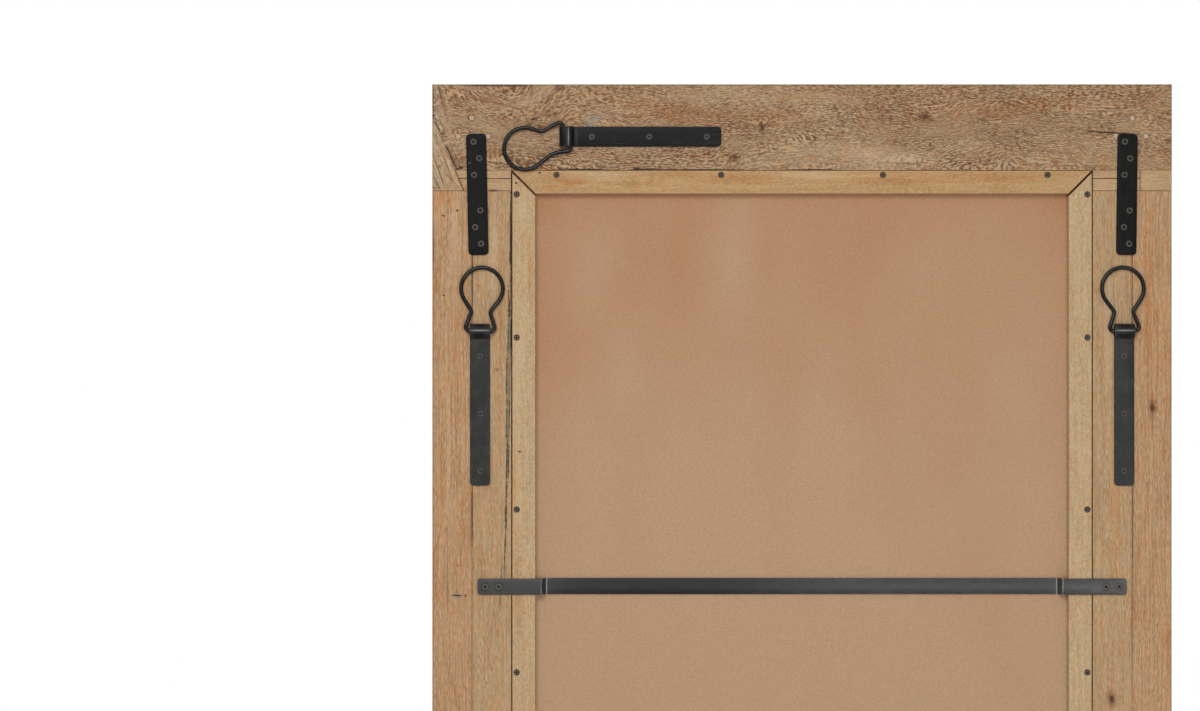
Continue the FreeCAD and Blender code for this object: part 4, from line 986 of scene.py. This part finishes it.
class MIRROR_OT_glass(Piece):
    """Backing panel, mirror glass and the blocks round it."""
    bl_idname = "floor_mirror.glass"
    bl_label = "Panel and glass"

    def make(self, look):
        dress("backing_panel", self.hardboard(look.panel))
        dress("mirror_glass", self.glass(look.panel))
        dress("glass_setting_blocks", self.rubber(look.panel))

    def hardboard(self, look):
        """Smooth hardboard, paler in the middle, with soft stains and a paper-like speckle, darker towards the
        battens partly as painted shade, and a dark line of painted shade along their foot.
        """
        material, tree, where = new_material("hardboard")
        from_middle = tree.math("ABSOLUTE", tree.split(where)[2] - TOP_Z / 2)
        ends = tree.step(from_middle, 0.30, 0.88) * 0.60
        cloud = (tree.noise(where, (6.0, 5.0, 3.4), 2.0, 0.55) - 0.5) * 1.2
        speckle = tree.noise(where, 520.0, 2.0, 0.6)
        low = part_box("top_batten")[0].z
        box = {"Vector": where, "Low": (-INNER_X, -1.0, TOP_Z - low), "High": (INNER_X, 1.0, low)}
        # edge: a broad band darker towards the battens, partly stain and partly painted shade from their step; rim:
        # a narrow band along them
        edge = tree.place(arris_group, {**box, "Width": 0.095})
        rim = tree.place(arris_group, {**box, "Width": ARRIS_WIDTH})
        grime_and_shade = tree.math("MAXIMUM", tree.math("ADD", ends, cloud, clamp=True), edge * 0.85)
        for from_left, from_top, half_width, half_height, strength in PANEL_STAINS:
            offset = where - on_back(from_left, from_top)
            reach = tree.reach(offset * (1 / (half_width * MM), 0.0, 1 / (half_height * MM)))
            grime_and_shade = grime_and_shade + tree.step(reach, 1.3, 0.0) * strength
        shade = tree.mix(grime_and_shade, look.board, look.board_warm)
        # The rim is a dark reddish line of painted shade in the corner where the panel meets the battens
        shade = tree.mix(rim * 0.75, shade, (0.21, 0.085, 0.038))
        shade = tree.lit(shade, 0.70 + speckle * 0.60)
        finish_material(tree, shade, 0.5 + speckle * 0.2, speckle, 0.00006, 0.6)
        return material

    def glass(self, look):
        """Silvered glass: a clean reflection with a breath of haze."""
        material, tree, where = new_material("silvered_glass")
        haze = tree.noise(where, 5.0, 4.0, 0.6)
        finish_material(tree, look.glass, tree.step(haze, 0.45, 0.80) * 0.05, specular=0.5, metallic=1.0)
        return material

    def rubber(self, look):
        material, tree, where = new_material("setting_block_rubber")
        speck = tree.noise(where, 900.0)
        shade = tree.mix(tree.step(speck, 0.4, 0.7), look.block, (0.05, 0.05, 0.05))
        finish_material(tree, shade, 0.8, speck, 0.0001, specular=0.5)
        return material


class MIRROR_OT_plates(Piece):
    """Four black corner plates with six countersunk holes each."""
    bl_idname = "floor_mirror.plates"
    bl_label = "Corner plates"

    def make(self, look):
        sizes, steel = look.sizes, look.steel
        scuff = (on_back(46.2, 97.5), (0.0016, 0.03, 0.0012), (0.075, 0.095, 0.115), 0.6)
        material = steel_material("corner_plate_steel", steel.plate, steel, 0.45, face_grain(90), 0.0, 0.08, [scuff])
        heads = screw_heads("corner_plate_screws")
        for corner, tilt in PLATE_TILTS.items():
            low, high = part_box(f"{corner}_corner_plate")
            middle = Vector(((low.x + high.x) / 2, low.y, (low.z + high.z) / 2))
            place = Matrix.Translation(middle) @ Matrix.Rotation(math.radians(tilt), 4, "Y")
            holes = holes_in(heads, place, -PLATE_HALF_LENGTH, PLATE_HALF_LENGTH, STOCK_HALF_WIDTH)
            bm = bmesh.new()
            holed_plate(bm, -PLATE_HALF_LENGTH, PLATE_HALF_LENGTH, STOCK_HALF_WIDTH, high.y - low.y,
                        sizes.plate_corner, holes, sizes)
            tidy(bm)
            outline = [e for e in sharp_edges(bm, 60.0) if on_outline(e, sizes.plate_corner)]
            round_edges(bm, outline, sizes.steel_round)
            put(bm, place)
            finished(bm, f"{corner}_mending_plate", material, [f"{corner}_corner_plate"])


def on_outline(edge, corner):
    """Whether an edge lies on the outer outline of a corner plate about the origin."""
    half_width, half_length = STOCK_HALF_WIDTH - 0.0001, PLATE_HALF_LENGTH - 0.0001
    for vert in edge.verts:
        x, z = abs(vert.co.x), abs(vert.co.z)
        if x < half_width and z < half_length:
            across, along = x - (half_width - corner), z - (half_length - corner)
            if max(across, along) < 0 or math.hypot(max(0.0, across), max(0.0, along)) < corner * 0.9:
                return False
    return abs(edge.verts[0].co.y - edge.verts[1].co.y) < WELD


def round_sides(bm, half_width, radius):
    """Rounds the edges of a strip that run along its two sides or round its ends."""
    sides = []
    for edge in sharp_edges(bm, 60.0):
        a, b = (vert.co.x for vert in edge.verts)
        if min(abs(a), abs(b)) > half_width - WELD and abs(a - b) < WELD:
            sides.append(edge)
    round_edges(bm, sides, radius)


# The crank of a cross bar: its angle, and how far it starts from the middle side of the batten
BAR_CRANK, BAR_CRANK_REACH = math.radians(70.0), 0.0053


class MIRROR_OT_cross_bars(Piece):
    """Two flat bars, cranked down on to the panel between the battens."""
    bl_idname = "floor_mirror.cross_bars"
    bl_label = "Cross bars"

    def marks_and_painted_light(self, heads, bare):
        """Black middle, painted highlights as bright lines on both bends of the crank, paler ends and a black ring
        of painted shade round each screw.
        """
        marks_and_painted_light = [((0.180, BACK_Y - 0.01, TOP_Z * 2 / 3 + 0.002), (0.150, 0.03, 0.03), BLACK, 0.95)]
        for side in (1, -1):
            # Painted highlights: a bright line on each bend of the crank, in the colour of bare steel
            for out, half, paint, strength in (
                    (-0.0134, 0.0007, bare, 0.85), (-0.0068, 0.0005, bare, 0.45),
                    (0.045, 0.055, (0.058, 0.058, 0.057), 0.60)):
                marks_and_painted_light.append(((side * (INNER_X + out), BACK_Y, TOP_Z / 2), (half, 0.1, 2.0), paint, strength))
        # A black ring of painted shade round each screw head, where it sits in its hole
        return marks_and_painted_light + [(head, (0.0046, 0.1, 0.0046), BLACK, 0.95) for head in heads]

    def make(self, look):
        sizes, steel = look.sizes, look.steel
        heads = screw_heads("cross_bar_screws")
        material = steel_material("cross_bar_steel", steel.bar, steel, 0.34, face_grain(0), 0.10, 0.23,
                                  self.marks_and_painted_light(heads, steel.bare))
        for node in ("upper_cross_bar", "lower_cross_bar"):
            low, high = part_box(node)
            thickness, half_width, middle = high.y - BACK_Y, (high.z - low.z) / 2, (low.z + high.z) / 2
            place = Matrix.Translation((0, BACK_Y, middle)) @ Matrix.Rotation(QUARTER, 4, "Y")
            centre_radius = sizes.bar_bend + thickness / 2
            slope = (BACK_Y - low.y - 2 * centre_radius * (1 - math.cos(BAR_CRANK))) / math.sin(BAR_CRANK)
            crank_at = BAR_CRANK_REACH - INNER_X
            bm = bmesh.new()
            holes = holes_in(heads, place, low.x, 0.0, half_width)
            face = holed_plate(bm, low.x, crank_at, half_width, thickness, sizes.bar_corner, holes, sizes,
                               far_rounded=False)
            face = bend_on(bm, face, (0, -sizes.bar_bend, crank_at), 1, BAR_CRANK, 5)
            face = run_on(bm, face, Vector((0, -math.sin(BAR_CRANK), math.cos(BAR_CRANK))) * slope)
            out = Vector((0, math.cos(BAR_CRANK), math.sin(BAR_CRANK)))
            centre = face.calc_center_median() + out * centre_radius
            face = bend_on(bm, face, (0, centre.y, centre.z), -1, BAR_CRANK, 5)
            face = run_on(bm, face, (0, 0, -face.calc_center_median().z))
            bmesh.ops.delete(bm, geom=[face], context="FACES_ONLY")
            geometry = bm.verts[:] + bm.edges[:] + bm.faces[:]
            bmesh.ops.mirror(bm, geom=geometry, matrix=Matrix.Identity(4), merge_dist=WELD, axis="Z")
            tidy(bm)
            round_sides(bm, half_width, sizes.steel_round)
            # The finish is gone from the back of the bends of the crank, and there a strong value also paints a
            # highlight.
            wear_and_highlight = bm.faces.layers.float["edge_wear_and_highlight"]
            for face in bm.faces:
                if 0.25 < abs(face.normal.z) < 0.66 and face.normal.y > 0.5 and abs(face.normal.x) < 0.1:
                    face[wear_and_highlight] = 2.8
            put(bm, place)
            tidy(bm)
            finished(bm, f"{node}_strap", material, [node], angle=28.0)


def hanger_place(node, sizes):
    """Where a hanger lies, its own frame having its origin on the wood under the eye and +Z towards the ring,
    and how long it is."""
    low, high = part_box(f"{node}_hanger_strap")
    eye = sizes.eye_length / 2 + sizes.strap_thickness
    if "rail" in node:
        turn = Matrix.Rotation(QUARTER, 4, "Y")
        return Matrix.Translation((high.x - eye, low.y, (low.z + high.z) / 2)) @ turn, high.x - low.x
    return Matrix.Translation(((low.x + high.x) / 2, low.y, high.z - eye)), high.z - low.z


# The straps on the rails and on the stiles: grain, share of the colour, gloss, and the bands across the eye,
# each (from the eye's middle towards the ring, half width, colour or None for bare steel, strength).
# The share paints the rail straps darker and the stile straps lighter: painted shade and painted light.
# The bands are painted light: a painted highlight on the crest of the roll, black painted shade on either side
# of it, and a paler brown painted reflection on the strap next to the eye
# A paler brown band on the strap next to the eye: painted reflection
PAINTED_REFLECTION_BROWN = (0.060, 0.050, 0.047)
STRAP_FINISHES_AND_PAINTED_LIGHT = {
    "rail": (0, 0.32, 0.10, (
        (0.0046, 0.0034, BLACK, 0.9), (-0.0068, 0.0026, BLACK, 0.9), (-0.0026, 0.0006, None, 0.75),
        (-0.0006, 0.0006, None, 0.20), (-0.0118, 0.0022, PAINTED_REFLECTION_BROWN, 0.45))),
    "stile": (90, 1.45, 0.12, (
        (0.0054, 0.0030, BLACK, 1.0), (-0.0046, 0.0036, BLACK, 1.0), (0.0008, 0.0006, None, 0.70),
        (0.0006, 0.0014, None, 0.15), (-0.0112, 0.0020, PAINTED_REFLECTION_BROWN, 0.60))),
}


class MIRROR_OT_hanger_straps(Piece):
    """Four hanger straps, each rolled over at its end into an eye."""
    bl_idname = "floor_mirror.hanger_straps"
    bl_label = "Hanger straps"

    def steel(self, node, place, steel):
        """Steel with a painted highlight along the crest of its roll, black painted shade beside it and a painted
        reflection next to it.
        """
        kind = node.split("_")[1]
        grain, painted_light_share, gloss, painted_light_bands = STRAP_FINISHES_AND_PAINTED_LIGHT[kind]
        marks_and_painted_light = []
        # Each band is painted light laid on the steel: highlight, shade or reflection
        for along, half, paint, strength in painted_light_bands:
            offset, size = (0, 0, along), (0.0118, 0.05, half)
            if kind == "rail":
                offset, size = offset[::-1], size[::-1]
            marks_and_painted_light.append((place.translation + Vector(offset), size, paint or steel.bare, strength))
        # The rail straps are painted darker and the stile straps lighter than the one strap colour: painted shade
        # and painted light
        tint = [c * painted_light_share for c in steel.strap]
        return steel_material(f"{node}_strap_steel", tint, steel, 0.40, face_grain(grain), 0.05, gloss, marks_and_painted_light)

    def make(self, look):
        sizes = look.sizes
        heads = screw_heads("hanger_screws")
        thickness, inside = sizes.strap_thickness, sizes.eye_height / 2
        turn_up, axis_y = sizes.eye_length / 2 - inside, thickness + inside
        flat = sizes.eye_length - sizes.eye_height
        for node in ("left_stile", "right_stile", "top_rail", "bottom_rail"):
            place, long = hanger_place(node, sizes)
            material = self.steel(node, place, look.steel)
            holes = holes_in(heads, place, -long, 0.0, STOCK_HALF_WIDTH)
            bm = bmesh.new()
            face = holed_plate(bm, sizes.eye_length / 2 + thickness - long, turn_up, STOCK_HALF_WIDTH, thickness,
                               sizes.plate_corner, holes, sizes, far_rounded=False)
            face = bend_on(bm, face, (0, axis_y, turn_up), -1, math.pi, 14)
            face = run_on(bm, face, (0, 0, -flat))
            face = bend_on(bm, face, (0, axis_y, turn_up - flat), -1, QUARTER, 7)
            run_on(bm, face, (0, sizes.eye_lip_gap - inside, 0))
            tidy(bm)
            round_sides(bm, STOCK_HALF_WIDTH, sizes.steel_round)
            put(bm, place)
            tidy(bm)
            finished(bm, f"{node}_strap_with_eye", material, [f"{node}_hanger_strap"], angle=28.0)


def arm_moves(arm, bow, bow_radius):
    """An arm from the middle of the bar to the bow, as runs and bends, and its angle under the bow."""
    shoulder, shoulder_bend, neck, neck_height, neck_bend = arm
    corners = [Vector((0.0, 0.0)), Vector((shoulder, 0.0)), Vector((neck, neck_height))]
    to_neck = corners[2] - bow
    below = math.atan2(to_neck.x, -to_neck.y) + math.acos(bow_radius / to_neck.length)
    corners.append(bow + Vector((math.sin(below), -math.cos(below))) * bow_radius)
    moves, spent = [], 0.0
    for before, corner, after, radius in zip(corners, corners[1:], corners[2:], (shoulder_bend, neck_bend)):
        came, goes = (corner - before).normalized(), (after - corner).normalized()
        turn = math.atan2(came.x * goes.y - came.y * goes.x, came.dot(goes))
        setback = radius * math.tan(abs(turn) / 2)
        moves += [("run", (corner - before).length - spent - setback), ("bend", turn, radius)]
        spent = setback
    moves.append(("run", (corners[3] - corners[2]).length - spent))
    return moves, below


def ring_moves(arm, back_arm, bow, bow_radius):
    """A whole ring, from the middle of its bar round the bow and back to the bar."""
    out, below = arm_moves(arm, bow, bow_radius)
    back, back_below = arm_moves(back_arm, Vector((-bow.x, bow.y)), bow_radius)
    return out + [("bend", math.tau - below - back_below, bow_radius)] + back[::-1]


def bent_wire(sizes, moves):
    """A closed ring of round wire along runs and bends in the XZ plane, from the origin along +X."""
    bm = bmesh.new()
    across = Matrix.Rotation(QUARTER, 4, "Y")
    crest = bm.verts.layers.float.new("crest")
    bmesh.ops.create_circle(bm, cap_ends=False, segments=sizes.wire_sides, radius=sizes.wire_radius, matrix=across)
    # How far each part of the wire faces out from the wood: its crest is made lighter, partly as wear and partly as
    # a painted highlight
    for vert in bm.verts:
        vert[crest] = max(0.0, vert.co.y / sizes.wire_radius)
    edges = bm.edges[:]
    place, heading = Vector((0.0, 0.0, 0.0)), 0.0
    for kind, *move in moves:
        ahead, left = (Vector((math.cos(turned), 0.0, math.sin(turned))) for turned in (heading, heading + QUARTER))
        if kind == "run":
            made = bmesh.ops.extrude_edge_only(bm, edges=edges)["geom"]
            bmesh.ops.translate(bm, verts=only(bmesh.types.BMVert, made), vec=ahead * move[0])
            place = place + ahead * move[0]
        else:
            turn, radius = move
            centre = place + left * math.copysign(radius, turn)
            steps = max(6, round(abs(turn) / math.radians(6.0)))
            made = bmesh.ops.spin(bm, geom=edges, cent=centre, axis=(0, -1, 0), dvec=(0, 0, 0), angle=turn,
                                  steps=steps, use_duplicate=False)["geom_last"]
            heading += turn
            place = centre + Matrix.Rotation(turn, 3, (0, -1, 0)) @ (place - centre)
        edges = only(bmesh.types.BMEdge, made)
    if place.length > 1e-5:
        raise RuntimeError("the ring's wire doesn't close")
    bmesh.ops.remove_doubles(bm, verts=bm.verts, dist=2e-5)
    tidy(bm)
    return bm


class MIRROR_OT_hanger_rings(Piece):
    """Four rings of round wire, each turning with its own body in the eye of its strap."""
    bl_idname = "floor_mirror.hanger_rings"
    bl_label = "Hanger rings"

    def make(self, look):
        sizes, steel = look.sizes, look.steel
        material = steel_material("ring_wire_steel", steel.ring, steel, 0.19, specular=0.20)
        even = (sizes.even_arm, sizes.even_arm, Vector(sizes.even_bow))
        bent = (sizes.bent_arm, sizes.bent_back, Vector(sizes.bent_bow))
        out = Vector((0.0, 1.0, 0.0))
        for joint in frame["joints"]:
            arm, back_arm, bow = bent if joint["child"] == "top_rail_ring" else even
            bm = bent_wire(sizes, ring_moves(arm, back_arm, bow, sizes.bow_radius))
            bar = -Vector(joint["axis"])
            up = bar.cross(out)
            held = joint["pos_m"][1] - BACK_Y
            dip = math.asin((held - sizes.wire_radius - sizes.rest_clearance) / (bow.y + sizes.bow_radius))
            down = up * math.cos(dip) - out * math.sin(dip)
            face = out * math.cos(dip) + up * math.sin(dip)
            place = Matrix((bar, face, down)).transposed().to_4x4()
            place.translation = Vector(joint["pos_m"])
            put(bm, place)
            node = joint["child"].replace("_ring", "_hanger_ring")
            finished(bm, f"{node}_wire", material, [node], body=joint["child"], angle=60.0)


class MIRROR_OT_screws(Piece):
    """All screws, with cross recesses, each group in its own finish."""
    bl_idname = "floor_mirror.screws"
    bl_label = "Screws"

    def make(self, look):
        groups = (
            # node, length, head depth and recess depth in mm, colour, rubbing, how proud in mm, width of the recess
            ("batten_screws", 34.0, 2.5, 0.25, (0.034, 0.026, 0.020), 0.14, 0.48, 1.0),
            ("corner_plate_screws", 20.0, 2.5, 1.4, look.steel.screw, 0.30, 0.05, 0.95),
            ("cross_bar_screws", 20.0, 2.5, 1.4, (0.070, 0.055, 0.045), 0.30, 0.05, 0.85),
            ("hanger_screws", 20.0, 2.0, 1.2, (0.024, 0.023, 0.021), 0.22, 0.05, 0.55),
        )
        for seed, (node, long, head, recess, tint, bright, proud, spread) in enumerate(groups, 100):
            template = screw_template(look.sizes, long * MM, head * MM, recess * MM, spread)
            bm = drive_screws(template, screw_heads(node), seed, proud * MM)
            material = screw_material(f"{node}_finish", tint, bright)
            finished(bm, f"{node}_driven", material, [node], angle=30.0)
            bpy.data.meshes.remove(template)


WHITE = (1.0, 1.0, 1.0, 1.0)
# Name, place, size and share of the key power of each lamp, all aimed at one place
LAMPS = (("key", (0.85, 3.5, 3.1), 1.8, 0.85), ("low", (-0.6, 3.0, 0.95), 0.7, 0.25),
         ("front", (-1.4, -3.2, 2.9), 2.2, 0.9))
LAMP_AIM = Vector((0.1, 0.0, 1.2))
# The photograph's width, middle and frame corner, in its own pixels
PHOTO_WIDTH, PHOTO_MIDDLE, PHOTO_CORNER = 1200.0, (600.0, 355.5), (432.3, 84.3)


class MIRROR_OT_stage(Piece):
    """Floor, light and a camera square to the back of the frame."""
    bl_idname = "floor_mirror.stage"
    bl_label = "Stage"

    def make(self, look):
        self.floor(look.stage)
        self.world(look.stage)
        self.lamps(look.stage)
        self.camera(look.stage)
        bpy.context.scene.view_settings.view_transform = "Standard"

    def floor(self, look):
        """A wide floor that fades to white for the camera far from the object."""
        bm = bmesh.new()
        bmesh.ops.create_grid(bm, x_segments=1, y_segments=1, size=14.0)
        mesh = mesh_of(bm, "floor")
        floor = link(bpy.data.objects.new("floor", mesh))
        material, tree, where = new_material("floor_paint")
        far = tree.step(tree.reach(where), 1.6, 3.6)
        seen = tree.node("LightPath")["Is Camera Ray"]
        diffuse = tree.node("BsdfDiffuse", {"Color": opaque(look.floor)})
        white = tree.node("Emission", {"Color": WHITE, "Strength": 1.0})
        tree.node("OutputMaterial", {"Surface": tree.node("MixShader", {0: far * seen, 1: diffuse, 2: white})})
        mesh.materials.append(material)

    def world(self, look):
        """White where the camera, gloss and glass look, and an even sky for the rest."""
        world = bpy.data.worlds.new("studio")
        bpy.context.scene.world = world
        world.use_nodes = True
        world.node_tree.nodes.clear()
        tree = Tree(world.node_tree)
        path = tree.node("LightPath")
        mirrored = tree.math("MAXIMUM", path["Is Glossy Ray"], path["Is Transmission Ray"])
        seen = tree.math("MAXIMUM", path["Is Camera Ray"], mirrored)
        sky, white = (tree.node("Background", {"Color": WHITE, "Strength": level}) for level in (look.sky, 1.0))
        tree.node("OutputWorld", {"Surface": tree.node("MixShader", {0: seen, 1: sky, 2: white})})

    def lamps(self, look):
        """One large soft lamp up to the left behind the mirror, a low one, and one in front of it."""
        for name, place, size, level in LAMPS:
            data = bpy.data.lights.new(name, "AREA")
            data.shape, data.size, data.energy = "DISK", size, look.key * level
            lamp = link(bpy.data.objects.new(name, data))
            lamp.location = place
            lamp.rotation_euler = (LAMP_AIM - Vector(place)).to_track_quat("-Z", "Y").to_euler()

    def camera(self, look):
        """Square to the back, with the frame's top left corner where the photograph has it."""
        data = bpy.data.cameras.new("camera")
        camera = link(bpy.data.objects.new("camera", data))
        middle_x = LEFT_X - (PHOTO_MIDDLE[0] - PHOTO_CORNER[0]) * look.pixel
        middle_z = TOP_Z - (PHOTO_MIDDLE[1] - PHOTO_CORNER[1]) * look.pixel
        camera.location = (middle_x, BACK_Y + look.camera_distance, middle_z)
        camera.rotation_euler = (QUARTER, 0.0, math.pi)
        data.sensor_width = 36.0
        data.lens = data.sensor_width * look.camera_distance / (PHOTO_WIDTH * look.pixel)
        bpy.context.scene.camera = camera


class MIRROR_PT_panel(bpy.types.Panel):
    """Buttons for each group of pieces."""
    bl_idname = "MIRROR_PT_panel"
    bl_label = "Floor mirror"
    bl_space_type = "VIEW_3D"
    bl_region_type = "UI"
    bl_category = "Floor mirror"

    def draw(self, context):
        for operator in OPERATORS:
            self.layout.operator(operator.bl_idname)


OPERATORS = (
    MIRROR_OT_rails, MIRROR_OT_stiles, MIRROR_OT_fillers, MIRROR_OT_battens, MIRROR_OT_glass, MIRROR_OT_plates,
    MIRROR_OT_cross_bars, MIRROR_OT_hanger_straps, MIRROR_OT_hanger_rings, MIRROR_OT_screws, MIRROR_OT_stage,
)
CLASSES = (
    *WOODS.values(), SteelLook, HardwareSizes, PanelLook, StageLook, MirrorSettings, *OPERATORS, MIRROR_PT_panel)


def register():
    for cls in CLASSES:
        bpy.utils.register_class(cls)
    bpy.types.Scene.floor_mirror = PointerProperty(type=MirrorSettings)


def unregister():
    del bpy.types.Scene.floor_mirror
    for cls in reversed(CLASSES):
        bpy.utils.unregister_class(cls)


def main():
    register()
    for operator in OPERATORS:
        family, name = operator.bl_idname.split(".")
        getattr(getattr(bpy.ops, family), name)()


if __name__ == "__main__":
    main()
